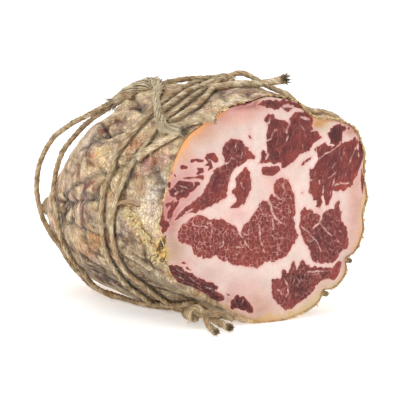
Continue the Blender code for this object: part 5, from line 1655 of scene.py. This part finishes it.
# Cut ends: whether at the strand's end, how many fibres, how long, how far they spread, and how dark the
# painted shadow in their middle is where that isn't the usual
CUT_ENDS = {
    "top_end": (True, 70, 3.2, 0.55), "cheek_end": (True, 40, 2.6, 0.5), "side_end": (True, 30, 2.0, 0.4),
    "lower_end_long": (True, 46, 1.3, 0.25), "lower_end_short": (True, 60, 1.4, 0.3),
    "lower_end_inner": (True, 44, 1.6, 0.4), "rope_upper": (False, 40, 0.7, 0.1, 0.55),
    "rope_lower": (False, 40, 0.7, 0.1, 0.55), "top_near": (True, 34, 2.6, 0.6),
    "top_far": (True, 34, 2.0, 0.5),
}
FUZZ_PER_MM = 0.55
FUZZ_REACH = 3.2
# Strands with loose coarse fibres along them: how many to a millimetre, how long, how far they rise
LOOSE_FIBRES = {
    "top_near": (1.5, 4.0, 0.08), "top_rim": (0.5, 3.2, 0.06), "top_far": (1.0, 3.5, 0.08),
    "top_end": (1.2, 3.0, 0.06), "side_end": (2.0, 3.0, 0.08), "cheek_end": (0.8, 3.0, 0.06),
    "band_front": (0.22, 3.0, 0.05), "band_back": (0.22, 3.0, 0.05), "lower_knot": (1.0, 2.5, 0.05),
    "lower_end_long": (1.2, 2.2, 0.05), "lower_end_short": (1.4, 2.2, 0.05),
    "lower_end_inner": (1.4, 2.2, 0.05),
}

PHASE_STEP = 0.9
COARSE = 2.6
COARSE_LIGHTER = 0.35
COARSE_CURL = 0.28

twine_pieces = []
for number, (name, tone) in enumerate(STRAND_TONES.items()):
    tubes = ply_tubes(ROUTES[name], tone, PHASE_STEP * number)
    if name in CUT_ENDS:
        tubes += end_tubes(ROUTES[name], tone, *CUT_ENDS[name])
    tubes += fuzz_tubes(ROUTES[name], tone, FUZZ_PER_MM, FUZZ_REACH)
    if name in LOOSE_FIBRES:
        per_mm, reach, rise = LOOSE_FIBRES[name]
        lighter = tone + COARSE_LIGHTER
        tubes += fuzz_tubes(ROUTES[name], lighter, per_mm, reach, rise, COARSE, COARSE_CURL)
    twine_pieces.append(add_tubes("twine_" + name, tubes, "twine"))

bundle = fibre_tubes(ROUTES["top_bundle"], 0.9, 80, 0.27, 0.8)
bundle += fuzz_tubes(ROUTES["top_bundle"], 0.8, 1.6, 3.6)
bundle += fuzz_tubes(ROUTES["top_bundle"], 1.1, 6.0, 3.6, 0.06, 2.8, 0.25)
bundle += end_tubes(ROUTES["top_bundle"], 0.75, True, 60, 3.6, 0.9)
bundle += end_tubes(ROUTES["top_bundle"], 0.7, False, 60, 4.2, 0.7)
twine_pieces.append(add_tubes("twine_top_bundle", bundle, "twine"))

knot = ply_tubes(wrap_route(ROUTES["crossing_knot"], 4, 1.5, 0.62), 0.5, 0.4)
knot += fibre_tubes(ROUTES["crossing_knot"], 0.45, 26, 0.4, 0.3)
twine_pieces.append(add_tubes("twine_crossing_knot", knot, "twine"))
knot = ply_tubes(wrap_route(ROUTES["lower_knot"], 4, 1.7, 0.62), 0.42, 1.4)
twine_pieces.append(add_tubes("twine_lower_knot_turns", knot, "twine"))
turn_ends = nub_point(np.array([NUB_TURN_AT - NUB_TURN_HALF, NUB_TURN_AT + NUB_TURN_HALF]))
turn_route = np.column_stack([turn_ends, [1, 1]])
turns = ply_tubes(wrap_route(turn_route, 2, NUB_RADIUS + TWINE_RADIUS, 0.9), 0.42, 2.4)
twine_pieces.append(add_tubes("twine_tip_turns", turns, "twine"))
print("twine pieces", len(twine_pieces), "points", sum(len(p.data.vertices) for p in twine_pieces))

# %% [markdown]
# ## The torn bits at the rim
#
# At the left of the cut, fat that has oozed and dried stands out as a golden clump with pale crumpled
# edges, and a strip of pale crust crosses the casing. Near by the casing has torn, and its edge curls up
# brown. Except for the clump, they are small ribbons of mesh, each with its own bend, laid where the
# casing carries them.

# %% Flakes, clump and curl
FLAKE_CLEAR = 0.35
FLAKE_THICKNESS = 0.22
FLAKE_COUNT = 130
FLAKE_LINE = [(178, 24), (182.4, 16.3), (188.1, 10.7), (194.2, 7.3), (198.6, 6.1)]
# Strips of the tear: rows of (angle, depth, height), then how wide they are and how far they curl up
TEARS = [
    ([(178.5, 32, 0.2), (176.2, 29.5, 0.9), (174.9, 25, 1.1), (174.6, 20, 0.9), (175.6, 13.5, 0.3)],
     1.5, 0.9),
    ([(176.8, 30, 0.4), (175.6, 26, 1.3), (175.4, 21, 1.2), (176.4, 15, 0.4)], 0.9, 0.8),
    ([(163.0, 16.2, 0.3), (166.0, 15.6, 0.9), (169.0, 15.2, 1.2), (171.2, 14.6, 0.7)], 1.1, 0.9),
]
TEAR_WARMTH = 0.7
CLUMP_HALF_SIZE = np.array([1.9, 1.8, 6.6])
CLUMP_PLACE = np.array([-56.6, 0.6, 38.2])


def skin_frame(angle_degrees, behind):
    """A place on the casing and its outward, round and lengthwise directions."""
    angle = np.radians(angle_degrees)
    place = meat_point(angle, behind)
    around = meat_point(angle + 0.02, behind) - place
    around = around / np.linalg.norm(around)
    along = meat_point(angle, behind + 0.5) - place
    along = along / np.linalg.norm(along)
    out = np.cross(along, around)
    return place, out / np.linalg.norm(out), around, along


def ribbon(path, wide, out, lift, sides=5):
    """A thin flake along a path: a flat strip with a raised, curled edge."""
    ahead = np.gradient(path, axis=0)
    ahead /= np.linalg.norm(ahead, axis=1, keepdims=True)
    across = np.cross(ahead, out)
    share = np.linspace(-0.5, 0.5, sides)
    taper_off = np.sin(np.linspace(0.25, np.pi - 0.25, len(path)))[:, None, None]
    curl = (share + 0.5) ** 2
    grid = path[:, None] + share[None, :, None] * wide * across[:, None] * taper_off
    return grid + curl[None, :, None] * lift * out


def sheet_faces(rows, columns, start=0):
    """Quads of an open grid of points."""
    step = np.arange(columns - 1)
    near = start + np.arange(rows - 1)[:, None] * columns + step
    quads = np.stack([near, near + 1, near + columns + 1, near + columns], axis=-1)
    return quads.reshape(-1, 4).tolist()


def add_ribbons(name, grids, warmth):
    """All ribbons of one kind as one mesh, each with its own warmth of colour."""
    points, faces, start = [], [], 0
    for grid in grids:
        rows, columns = grid.shape[:2]
        points.append(grid.reshape(-1, 3))
        faces += sheet_faces(rows, columns, start)
        start += rows * columns
    counts = [len(part) for part in points]
    points = np.vstack(points)
    points[:, 2] = np.maximum(points[:, 2], FLAKE_CLEAR)
    piece = add_piece(name, in_model(points), faces, "meat")
    paint(piece.data, "warmth", np.repeat(warmth, counts))
    thick = piece.modifiers.new("thickness", "SOLIDIFY")
    thick.thickness = FLAKE_THICKNESS * MM
    return piece


def crust_flakes():
    """Zigzag flakes of pale crust on a strip across the casing."""
    line = smooth_path(FLAKE_LINE, per_span=30)
    grids, warmth = [], []
    for _ in range(FLAKE_COUNT):
        at, behind = line[chance.integers(0, len(line))]
        at = at + chance.normal(0, 1.5)
        behind = max(behind + chance.normal(0, 1.4), 1.0)
        place, out, around, along = skin_frame(at, behind)
        lean = chance.choice([-0.9, 0.5, 0.7, 1.0]) + chance.normal(0, 0.2)
        ahead = np.cos(lean) * around + np.sin(lean) * along
        length = chance.uniform(1.2, 3.2)
        step = np.linspace(-0.5, 0.5, 7)[:, None]
        bend = np.cross(out, ahead) * chance.normal(0, 0.4) * (step**2 - 0.1) * length
        path = place + out * 0.25 + ahead * step * length + bend
        grids.append(ribbon(path, chance.uniform(0.4, 0.8), out, chance.uniform(0.3, 0.9)))
        warmth.append(chance.uniform(0.0, 0.9))
    return add_ribbons("crust_flakes", grids, warmth)


def torn_curl():
    """The curled brown edge of a tear, and a frayed shred above it."""
    grids, warmth = [], []
    for line, wide, lift in TEARS:
        rows = smooth_path(line, per_span=7)
        frames = [skin_frame(angle, behind) for angle, behind, _ in rows]
        path = np.array([frame[0] + frame[1] * row[2] for frame, row in zip(frames, rows)])
        grids.append(ribbon(path, wide, frames[len(rows) // 2][1], lift))
        warmth.append(TEAR_WARMTH)
    return add_ribbons("torn_curl", grids, warmth)


# Bits of dried casing on the rim: from angle, to angle, how many, warmth from, to
RIM_RUNS = [
    (28, 62, 34, 0.0, 1.3), (62, 92, 16, 0.3, 1.4), (104, 124, 8, 0.0, 0.8), (124, 132, 8, -0.2, 0.2),
    (160, 200, 26, -0.1, 0.7), (252, 275, 12, -0.1, 0.8), (275, 322, 20, 0.0, 0.7),
    (322, 345, 14, 0.4, 1.3), (345, 388, 26, 0.0, 1.1),
]


def rim_crust():
    """Small ragged scales of dried casing that stand on the rim of the cut."""
    grids, warmth = [], []
    for first, last, count, cool, hot in RIM_RUNS:
        for at in np.linspace(first, last, count, endpoint=False):
            angle = np.radians(at + chance.normal(0, 0.8))
            place = meat_point(angle, 0.0, -chance.uniform(0.0, 0.5))
            place[1] = -chance.uniform(0.05, 0.35)
            ahead = meat_point(angle + 0.02, 0.0) - meat_point(angle - 0.02, 0.0)
            ahead = ahead / np.linalg.norm(ahead)
            face = np.array([0.0, -1.0, 0.0])
            outer = np.cross(face, ahead)
            lean = chance.normal(0, 0.35)
            ahead = ahead * np.cos(lean) + outer * np.sin(lean)
            length = chance.uniform(0.9, 2.6)
            step = np.linspace(-0.5, 0.5, 6)[:, None]
            bend = outer * chance.normal(0, 0.35) * (step**2 - 0.1) * length
            path = place + ahead * step * length + bend
            grids.append(ribbon(path, chance.uniform(0.35, 0.95), face, chance.uniform(0.1, 0.5)))
            warmth.append(chance.uniform(cool, hot))
    return add_ribbons("rim_crust", grids, warmth)


def golden_clump():
    """The dried golden clump in the left rim: a crumpled lump with many ridges."""
    rings, sides = 46, 60
    share = np.linspace(0.0, np.pi, rings)[:, None]
    turn = np.linspace(0, 2 * np.pi, sides, endpoint=False)[None, :]
    ball = [np.sin(share) * np.cos(turn), np.cos(share) + 0 * turn, np.sin(share) * np.sin(turn)]
    ball = np.stack(ball, axis=-1)
    shape = ball * CLUMP_HALF_SIZE
    shape[..., 0] += 0.05 * (shape[..., 2] + 1.0) ** 2 - 0.9
    ridges = 1 - 2.2 * np.abs(soft_noise(shape, 2.6, 60)) - 0.9 * np.abs(soft_noise(shape, 1.2, 61))
    shape += ball * (0.85 * ridges)[..., None]
    points = shape.reshape(-1, 3) + CLUMP_PLACE
    piece = add_piece("golden_clump", in_model(points), ring_faces(rings, sides), "meat")
    # Low on the ridges and high in the hollows: pale ridges, warm amber hollows, and painted shade in the
    # deepest ones
    paint(piece.data, "warmth", np.clip(1.25 - 1.35 * ridges.ravel(), 0, 1.8))
    return piece


flakes = [crust_flakes(), torn_curl(), golden_clump(), rim_crust()]
print("rim bits", [piece.name for piece in flakes])

# %% [markdown]
# ## Materials
#
# Every material here needs the same two things: a value that varies softly with a lump size in
# millimetres, and a scatter of small flecks. Both are node groups, built once, and each material sets
# their sizes. They read the object's own coordinates, which are in metres, so the first thing each does is
# to turn them into millimetres.

# %% Node helpers and shared groups
# Colours of the casing and its lip, of lean and fat, and of the twine
PAINTS = {
    "crack": linear(112, 84, 60),
    "mould": linear(228, 214, 188),
    "speck": linear(104, 72, 50),
    "lip_tan": linear(206, 164, 108),
    "lip_brown": linear(122, 84, 54),
    "lip_gold": linear(232, 202, 140),
    "red": linear(134, 54, 47),
    "dark_red": linear(75, 25, 27),
    "crimson": linear(66, 10, 12),
    "edge_red": linear(150, 60, 50),
    "bright_red": linear(156, 62, 50),
    "vein": linear(204, 146, 134),
    "septa": linear(222, 180, 170),
    "pink_fat": linear(222, 164, 154),
    "seam_fat": linear(222, 172, 160),
    "fibre": linear(132, 110, 80),
    "light_fibre": linear(202, 178, 142),
    "pale_fibre": linear(242, 226, 194),
    "rust": linear(168, 122, 78),
    "deep": linear(58, 44, 32),
    "lint": linear(226, 216, 194),
}


def add_node(tree, kind, settings=None, inputs=None):
    """A node with its settings made, and each input linked to a socket or set to a value."""
    node = tree.nodes.new(kind)
    for name, value in (settings or {}).items():
        setattr(node, name, value)
    for name, value in (inputs or {}).items():
        if isinstance(value, bpy.types.NodeSocket):
            tree.links.new(value, node.inputs[name])
        else:
            node.inputs[name].default_value = value
    return node


def calc(tree, operation, *values):
    """Arithmetic on values; the kinds that are used most have a short name each below."""
    node = add_node(tree, "ShaderNodeMath", {"operation": operation}, dict(enumerate(values)))
    return node.outputs[0]


def times(tree, first, second):
    return calc(tree, "MULTIPLY", first, second)


def plus(tree, first, second):
    return calc(tree, "ADD", first, second)


def less(tree, first, second):
    return calc(tree, "SUBTRACT", first, second)


def larger(tree, first, second):
    return calc(tree, "MAXIMUM", first, second)


def fade(tree, value, low, high, start=0.0, end=1.0):
    """Rises smoothly from start to end while the value goes from low to high."""
    inputs = {"Value": value, "From Min": low, "From Max": high, "To Min": start, "To Max": end}
    node = add_node(tree, "ShaderNodeMapRange", {"interpolation_type": "SMOOTHSTEP"}, inputs)
    return node.outputs["Result"]


def blend(tree, share, first, second, mode="MIX"):
    """The first colour, with a share of the second over it."""
    node = add_node(tree, "ShaderNodeMix", {"data_type": "RGBA", "blend_type": mode})
    for slot, value in ((0, share), (6, first), (7, second)):
        if isinstance(value, bpy.types.NodeSocket):
            tree.links.new(value, node.inputs[slot])
        elif slot:
            node.inputs[slot].default_value = (*value, 1)
        else:
            node.inputs[slot].default_value = value
    return node.outputs[2]


def stored(tree, name, output="Fac"):
    return add_node(tree, "ShaderNodeAttribute", {"attribute_name": name}).outputs[output]


def scaled_by(tree, vector, value):
    node = add_node(tree, "ShaderNodeVectorMath", {"operation": "SCALE"}, {0: vector, "Scale": value})
    return node.outputs[0]


def millimetres(tree):
    """The object's own coordinates in millimetres."""
    return scaled_by(tree, add_node(tree, "ShaderNodeTexCoord").outputs["Object"], 1 / MM)


def streaky(tree, vector):
    """Plain noise at any vector, for patterns that are drawn out one way."""
    inputs = {"Vector": vector, "Scale": 1.0, "Detail": 2.0}
    return add_node(tree, "ShaderNodeTexNoise", None, inputs).outputs["Fac"]


def cell_distance(tree, feature, place, scale):
    """How far a place is from the middle (F1) or the edge of its cell."""
    inputs = {"Vector": place, "Scale": scale}
    return add_node(tree, "ShaderNodeTexVoronoi", {"feature": feature}, inputs).outputs["Distance"]


def noise(tree, place, cell, detail=1.0, output="Fac"):
    """Noise at places in millimetres, with lumps the size of a cell."""
    inputs = {"Vector": place, "Scale": 1 / cell, "Detail": detail, "Roughness": 0.55}
    return add_node(tree, "ShaderNodeTexNoise", None, inputs).outputs[output]


def bent_places(tree, place, reach):
    """Places pushed about by soft noise, so that lines drawn in them wander."""
    push = scaled_by(tree, noise(tree, place, reach, 2.0, "Color"), 0.9 * reach)
    return add_node(tree, "ShaderNodeVectorMath", {"operation": "ADD"}, {0: place, 1: push}).outputs[0]


def new_group(name, sockets, result):
    group = bpy.data.node_groups.new(name, "ShaderNodeTree")
    for label, value in sockets.items():
        socket = group.interface.new_socket(label, in_out="INPUT", socket_type="NodeSocketFloat")
        socket.default_value = value
    group.interface.new_socket(result, in_out="OUTPUT", socket_type="NodeSocketFloat")
    return group, group.nodes.new("NodeGroupInput").outputs, group.nodes.new("NodeGroupOutput").inputs


def build_mottle():
    """A soft value between Low and High with lumps of one size."""
    group, given, made = new_group("mottle", {"Size": 2.0, "Low": 0.8, "High": 1.1}, "Value")
    scale = calc(group, "DIVIDE", 1.0, given["Size"])
    inputs = {"Vector": millimetres(group), "Scale": scale, "Detail": 2.0, "Roughness": 0.6}
    lumps = add_node(group, "ShaderNodeTexNoise", None, inputs).outputs["Fac"]
    group.links.new(fade(group, lumps, 0.3, 0.7, given["Low"], given["High"]), made["Value"])
    return group


def build_flecks():
    """Small round flecks of one size; Amount is the share of places that have them."""
    group, given, made = new_group("flecks", {"Size": 1.5, "Amount": 0.5, "Radius": 0.3}, "Mask")
    place = millimetres(group)
    scale = calc(group, "DIVIDE", 1.0, given["Size"])
    wobble = times(group, noise(group, place, 0.6), 0.3)
    distance = plus(group, cell_distance(group, "F1", place, scale), wobble)
    spot = fade(group, less(group, distance, given["Radius"]), 0.05, 0.22, 1.0, 0.0)
    where = noise(group, place, 7.0, 2.0)
    open_from = less(group, 0.75, times(group, given["Amount"], 0.5))
    gate = fade(group, less(group, where, open_from), -0.05, 0.08)
    group.links.new(times(group, spot, gate), made["Mask"])
    return group


MOTTLE = build_mottle()
FLECKS = build_flecks()


def mottle(tree, size, low, high):
    sizes = {"Size": size, "Low": low, "High": high}
    return add_node(tree, "ShaderNodeGroup", {"node_tree": MOTTLE}, sizes).outputs[0]


def flecks(tree, size, amount, radius):
    sizes = {"Size": size, "Amount": amount, "Radius": radius}
    return add_node(tree, "ShaderNodeGroup", {"node_tree": FLECKS}, sizes).outputs[0]


def shade(tree, colour, value):
    """The colour made darker or lighter by a value round 1."""
    return scaled_by(tree, colour, value)


def new_material(name):
    material = bpy.data.materials.new(name)
    material.use_nodes = True
    tree = material.node_tree
    return material, tree, tree.nodes["Principled BSDF"].inputs


def raise_surface(tree, shader, height, distance):
    """Lets the height, times a distance in millimetres, show as relief in the light."""
    inputs = {"Height": height, "Distance": distance * MM, "Strength": 1.0}
    bump = add_node(tree, "ShaderNodeBump", None, inputs)
    tree.links.new(bump.outputs["Normal"], shader["Normal"])


print("groups", MOTTLE.name, FLECKS.name)

# %% [markdown]
# ### Casing
#
# The stored colour gives the patches. Over it come mottling at two sizes, a fine grit, the pale flecks of
# mould, a few dark specks, and a crackle of fine creases like those of dry parchment. The bump has the
# crackle as well, with noise at two sizes. The torn lip is painted over all of it in browns and dull gold.

# %% Casing material
def casing_material():
    material, tree, shader = new_material("dry_casing")
    place = millimetres(tree)
    bent = bent_places(tree, place, 2.6)
    colour = stored(tree, "skin_colour", "Color")
    colour = shade(tree, colour, mottle(tree, 3.2, 0.82, 1.14))
    colour = shade(tree, colour, mottle(tree, 1.1, 0.80, 1.16))
    grit = fade(tree, noise(tree, place, 0.9, 4.0), 0.32, 0.68, 0.82, 1.16)
    colour = shade(tree, colour, grit)
    crackle = fade(tree, cell_distance(tree, "DISTANCE_TO_EDGE", bent, 0.42), 0.0, 0.14)
    gate = fade(tree, noise(tree, place, 5.0), 0.42, 0.60)
    dark_lines = times(tree, less(tree, 1.0, crackle), gate)
    colour = blend(tree, times(tree, dark_lines, 0.5), colour, PAINTS["crack"])
    colour = blend(tree, times(tree, flecks(tree, 2.4, 0.5, 0.25), 0.5), colour, PAINTS["mould"])
    colour = blend(tree, times(tree, flecks(tree, 1.4, 0.45, 0.22), 0.5), colour, PAINTS["speck"])
    rim = blend(tree, mottle(tree, 2.6, 0.0, 1.0), PAINTS["lip_tan"], PAINTS["lip_brown"])
    rim = blend(tree, mottle(tree, 1.2, -0.6, 0.9), rim, PAINTS["lip_gold"])
    edge = times(tree, stored(tree, "torn_edge"), mottle(tree, 2.0, 0.45, 1.0))
    colour = blend(tree, edge, colour, rim)
    tree.links.new(colour, shader["Base Color"])
    tree.links.new(mottle(tree, 4.0, 0.5, 0.78), shader["Roughness"])
    shader["Specular IOR Level"].default_value = 0.35
    fine = times(tree, noise(tree, place, 0.7, 3.0), 0.4)
    coarse = times(tree, noise(tree, bent, 2.2, 2.0), 0.9)
    height = plus(tree, plus(tree, fine, coarse), times(tree, crackle, 0.35))
    raise_surface(tree, shader, height, 0.9)
    return material


casing_finish = casing_material()
for piece in (casing, gathered_tip):
    piece.data.materials.append(casing_finish)

# %% [markdown]
# ### The cut
#
# Lean and fat are one material with a mask between them. The stored depth is pushed to and fro by noise
# before it is cut off at zero, so the edge of a muscle breaks into small lobes. The marbling has three
# parts: a net along the edges of bent cells, thick in some places and missing in others, streaks that
# follow the grain, and small specks. Round the lean the fat is tinged pink, each muscle is redder at its
# edge than in its middle, and the darkest ones turn to a deep crimson.

# %% Cut material
def lean_edges(tree, place):
    """Depth inside the lean, with lobes and small teeth, and the same for the seams of fat."""
    ragged = stored(tree, "ragged")
    medium = less(tree, noise(tree, place, 2.2), 0.5)
    small = less(tree, noise(tree, place, 0.8), 0.5)
    lobes = times(tree, less(tree, 0.52, cell_distance(tree, "F1", place, 0.4)), 0.9)
    teeth = plus(tree, times(tree, medium, 1.5), times(tree, small, 0.8))
    push = times(tree, plus(tree, teeth, lobes), ragged)
    depth = plus(tree, stored(tree, "lean_depth"), push)
    seam = plus(tree, stored(tree, "seam_depth"), times(tree, teeth, 0.45))
    return depth, seam


def marbling(tree, place):
    """The share of fat in the lean: a broken net of veins, streaks along the grain, and specks."""
    bent = bent_places(tree, place, 1.3)
    to_edge = cell_distance(tree, "DISTANCE_TO_EDGE", bent, 0.46)
    width = fade(tree, noise(tree, place, 1.6), 0.35, 0.68, -0.02, 0.05)
    lines = fade(tree, less(tree, to_edge, width), 0.0, 0.06, 1.0, 0.0)
    strong = fade(tree, noise(tree, place, 4.4, 0.0), 0.34, 0.62, 0.34, 0.82)
    net = times(tree, times(tree, lines, strong), stored(tree, "net"))
    along = times(tree, stored(tree, "grain_along"), 0.20)
    across = times(tree, stored(tree, "grain_across"), 1.05)
    wander = times(tree, noise(tree, place, 5.0), 2.4)
    grain = add_node(tree, "ShaderNodeCombineXYZ", None, {0: along, 1: plus(tree, across, wander)})
    threads = streaky(tree, grain.outputs[0])
    gathered = fade(tree, noise(tree, place, 4.0), 0.38, 0.6, 0.25, 0.9)
    streaks = times(tree, fade(tree, threads, 0.58, 0.72), gathered)
    streaks = times(tree, streaks, stored(tree, "streaks"))
    specks = times(tree, flecks(tree, 0.8, 0.7, 0.08), 0.5)
    return larger(tree, larger(tree, net, streaks), specks), threads


def cut_material():
    material, tree, shader = new_material("marbled_cut")
    place = millimetres(tree)
    depth, seam_depth = lean_edges(tree, place)
    lean = fade(tree, depth, -0.2, 0.25)
    seam = fade(tree, seam_depth, -0.2, 0.3)
    vein, threads = marbling(tree, place)

    darkness = times(tree, stored(tree, "darkness"), mottle(tree, 5.0, 0.45, 1.3))
    red = blend(tree, darkness, PAINTS["red"], PAINTS["dark_red"])
    crimson = fade(tree, stored(tree, "darkness"), 0.9, 1.5, 0.0, 0.75)
    red = blend(tree, crimson, red, PAINTS["crimson"])
    red = shade(tree, red, fade(tree, threads, 0.3, 0.6, 0.74, 1.18))
    red = shade(tree, red, mottle(tree, 0.7, 0.78, 1.2))
    edge_red = times(tree, fade(tree, depth, 0.1, 2.2, 0.6, 0.0), mottle(tree, 3.0, 0.2, 1.0))
    red = blend(tree, edge_red, red, PAINTS["edge_red"])
    bright = times(tree, stored(tree, "bright_red"), mottle(tree, 2.6, 0.5, 1.0))
    red = blend(tree, bright, red, PAINTS["bright_red"])
    red = blend(tree, vein, red, PAINTS["vein"])

    fat = stored(tree, "fat_colour", "Color")
    fat = shade(tree, fat, mottle(tree, 6.0, 0.94, 1.03))
    fat = shade(tree, fat, mottle(tree, 1.3, 0.96, 1.03))
    bent = bent_places(tree, place, 3.2)
    stretch = {"Vector": bent, "Scale": (0.09, 0.09, 0.42), "Rotation": (0.0, -0.4, 0.0)}
    septa = streaky(tree, add_node(tree, "ShaderNodeMapping", None, stretch).outputs[0])
    fat = blend(tree, fade(tree, septa, 0.56, 0.66, 0.0, 0.25), fat, PAINTS["septa"])
    fat = blend(tree, fade(tree, depth, -1.8, -0.1, 0.0, 0.5), fat, PAINTS["pink_fat"])
    seam_fat = blend(tree, 0.6, fat, PAINTS["seam_fat"])
    seam_middle = fade(tree, seam_depth, 0.15, 0.6, 0.0, 0.8)
    broken = larger(tree, mottle(tree, 1.5, 0.15, 0.95), seam_middle)
    red = blend(tree, times(tree, seam, broken), red, seam_fat)
    tree.links.new(blend(tree, lean, fat, red), shader["Base Color"])
    gloss = fade(tree, lean, 0.0, 1.0, 0.42, 0.5)
    tree.links.new(times(tree, gloss, mottle(tree, 3.0, 0.85, 1.2)), shader["Roughness"])
    shader["Specular IOR Level"].default_value = 0.3
    shader["Subsurface Weight"].default_value = 0.1
    shader["Subsurface Radius"].default_value = (1.0, 0.4, 0.25)
    shader["Subsurface Scale"].default_value = 0.001
    grain = times(tree, noise(tree, place, 0.55, 2.0), 0.6)
    soft = larger(tree, less(tree, 1.0, lean), larger(tree, seam, vein))
    raise_surface(tree, shader, plus(tree, grain, times(tree, soft, 0.5)), 0.16)
    return material


cut_face.data.materials.append(cut_material())

# %% [markdown]
# ### Twine
#
# Across each ply run fine dark and light lines, the fibres. They are noise that is stretched along the
# ply, so it needs the two stored numbers along and around instead of a place in space. Deep in the twist
# it is painted dark, as painted shade between the plies and in the middle of bundles and cut ends.

# %% Twine material
def twine_material():
    material, tree, shader = new_material("rough_twine")
    along = times(tree, stored(tree, "along"), 0.25)
    around = times(tree, calc(tree, "PINGPONG", stored(tree, "around"), 0.5), 14.0)
    flat = add_node(tree, "ShaderNodeCombineXYZ", None, {"X": along, "Y": around, "Z": stored(tree, "tone")})
    fibres = streaky(tree, flat.outputs[0])
    tone = plus(tree, stored(tree, "tone"), fade(tree, fibres, 0.32, 0.68, -0.34, 0.34))
    tone = plus(tree, tone, mottle(tree, 5.0, -0.16, 0.16))
    colour = blend(tree, fade(tree, tone, 0.0, 0.55), PAINTS["fibre"], PAINTS["light_fibre"])
    colour = blend(tree, fade(tree, tone, 0.5, 1.0), colour, PAINTS["pale_fibre"])
    rusty = times(tree, mottle(tree, 7.0, -0.6, 0.9), 0.35)
    colour = blend(tree, fade(tree, rusty, 0.0, 0.3, 0.0, 0.4), colour, PAINTS["rust"])
    # Painted shade: darker deep in the twist and in the middle of bundles and cut ends
    deep = fade(tree, stored(tree, "twist_depth"), 0.12, 0.6, 0.0, 0.72)
    colour = blend(tree, deep, colour, PAINTS["deep"])
    colour = blend(tree, times(tree, flecks(tree, 1.3, 0.35, 0.2), 0.4), colour, PAINTS["lint"])
    tree.links.new(colour, shader["Base Color"])
    tree.links.new(mottle(tree, 2.0, 0.75, 0.95), shader["Roughness"])
    shader["Specular IOR Level"].default_value = 0.2
    raise_surface(tree, shader, fibres, 0.35)
    return material


twine_finish = twine_material()
for piece in twine_pieces:
    piece.data.materials.append(twine_finish)

# %% [markdown]
# ### Golden clump and flakes
#
# Dried fat is amber and clear in its hollows and nearly white where it is thin and dry, so the ridges of
# the clump are pale and the hollows warm; deeper in the hollows the colour turns dark, which is painted
# shade. The flakes of crust, the curled edge and the scales at the rim have the same kind of material,
# each in colours of its own.

# %% Dried fat material
def dried_fat_material(name, pale, warm, dark):
    """Pale where the stored value is low, then warm, then dark; on the clump the dark end is painted shade in
    the hollows.
    """
    material, tree, shader = new_material(name)
    warmth = plus(tree, stored(tree, "warmth"), mottle(tree, 1.2, -0.3, 0.3))
    colour = blend(tree, fade(tree, warmth, 0.0, 0.8), linear(*pale), linear(*warm))
    colour = blend(tree, fade(tree, warmth, 0.8, 1.5), colour, linear(*dark))
    colour = shade(tree, colour, mottle(tree, 0.8, 0.85, 1.1))
    tree.links.new(colour, shader["Base Color"])
    tree.links.new(mottle(tree, 1.5, 0.25, 0.6), shader["Roughness"])
    shader["Subsurface Weight"].default_value = 0.2
    shader["Subsurface Radius"].default_value = (1.0, 0.6, 0.25)
    shader["Subsurface Scale"].default_value = 0.0015
    raise_surface(tree, shader, noise(tree, millimetres(tree), 0.6, 2.0), 0.3)
    return material


# Pale, warm and dark colour of each kind of dried bit
DRIED_COLOURS = {
    "pale_crust": ((236, 222, 186), (218, 184, 116), (160, 120, 70)),
    "torn_casing": ((214, 190, 154), (176, 142, 106), (128, 92, 62)),
    "golden_fat": ((244, 226, 172), (200, 156, 76), (98, 72, 26)),
    "rim_scales": ((240, 218, 168), (206, 160, 98), (112, 74, 46)),
}
for piece, (name, colours) in zip(flakes, DRIED_COLOURS.items()):
    piece.data.materials.append(dried_fat_material(name, *colours))
print("materials", len(bpy.data.materials))

# %% [markdown]
# ## The floor
#
# A plain sheet of white, wide enough to fill the view from every side.

# %% Floor and finish
# Sizes in metres
FLOOR_HALF = 6.0
FLOOR_DROP = 0.0002
FLOOR_TONES = ((0.97, 0.97, 0.97), (0.98, 0.98, 0.98))
floor_mesh = bpy.data.meshes.new("floor")
corners = [(x * FLOOR_HALF, y * FLOOR_HALF, -FLOOR_DROP) for x, y in ((-1, -1), (1, -1), (1, 1), (-1, 1))]
floor_mesh.from_pydata(corners, [], [(0, 1, 2, 3)])
floor = bpy.data.objects.new("floor", floor_mesh)
bpy.context.collection.objects.link(floor)
white, tree, shader = new_material("white_floor")
tree.links.new(blend(tree, mottle(tree, 60.0, 0.0, 1.0), *FLOOR_TONES), shader["Base Color"])
shader["Roughness"].default_value = 0.9
shader["Specular IOR Level"].default_value = 0.0
shader["Emission Color"].default_value = WHITE
shader["Emission Strength"].default_value = TABLE_GLOW
floor_mesh.materials.append(white)
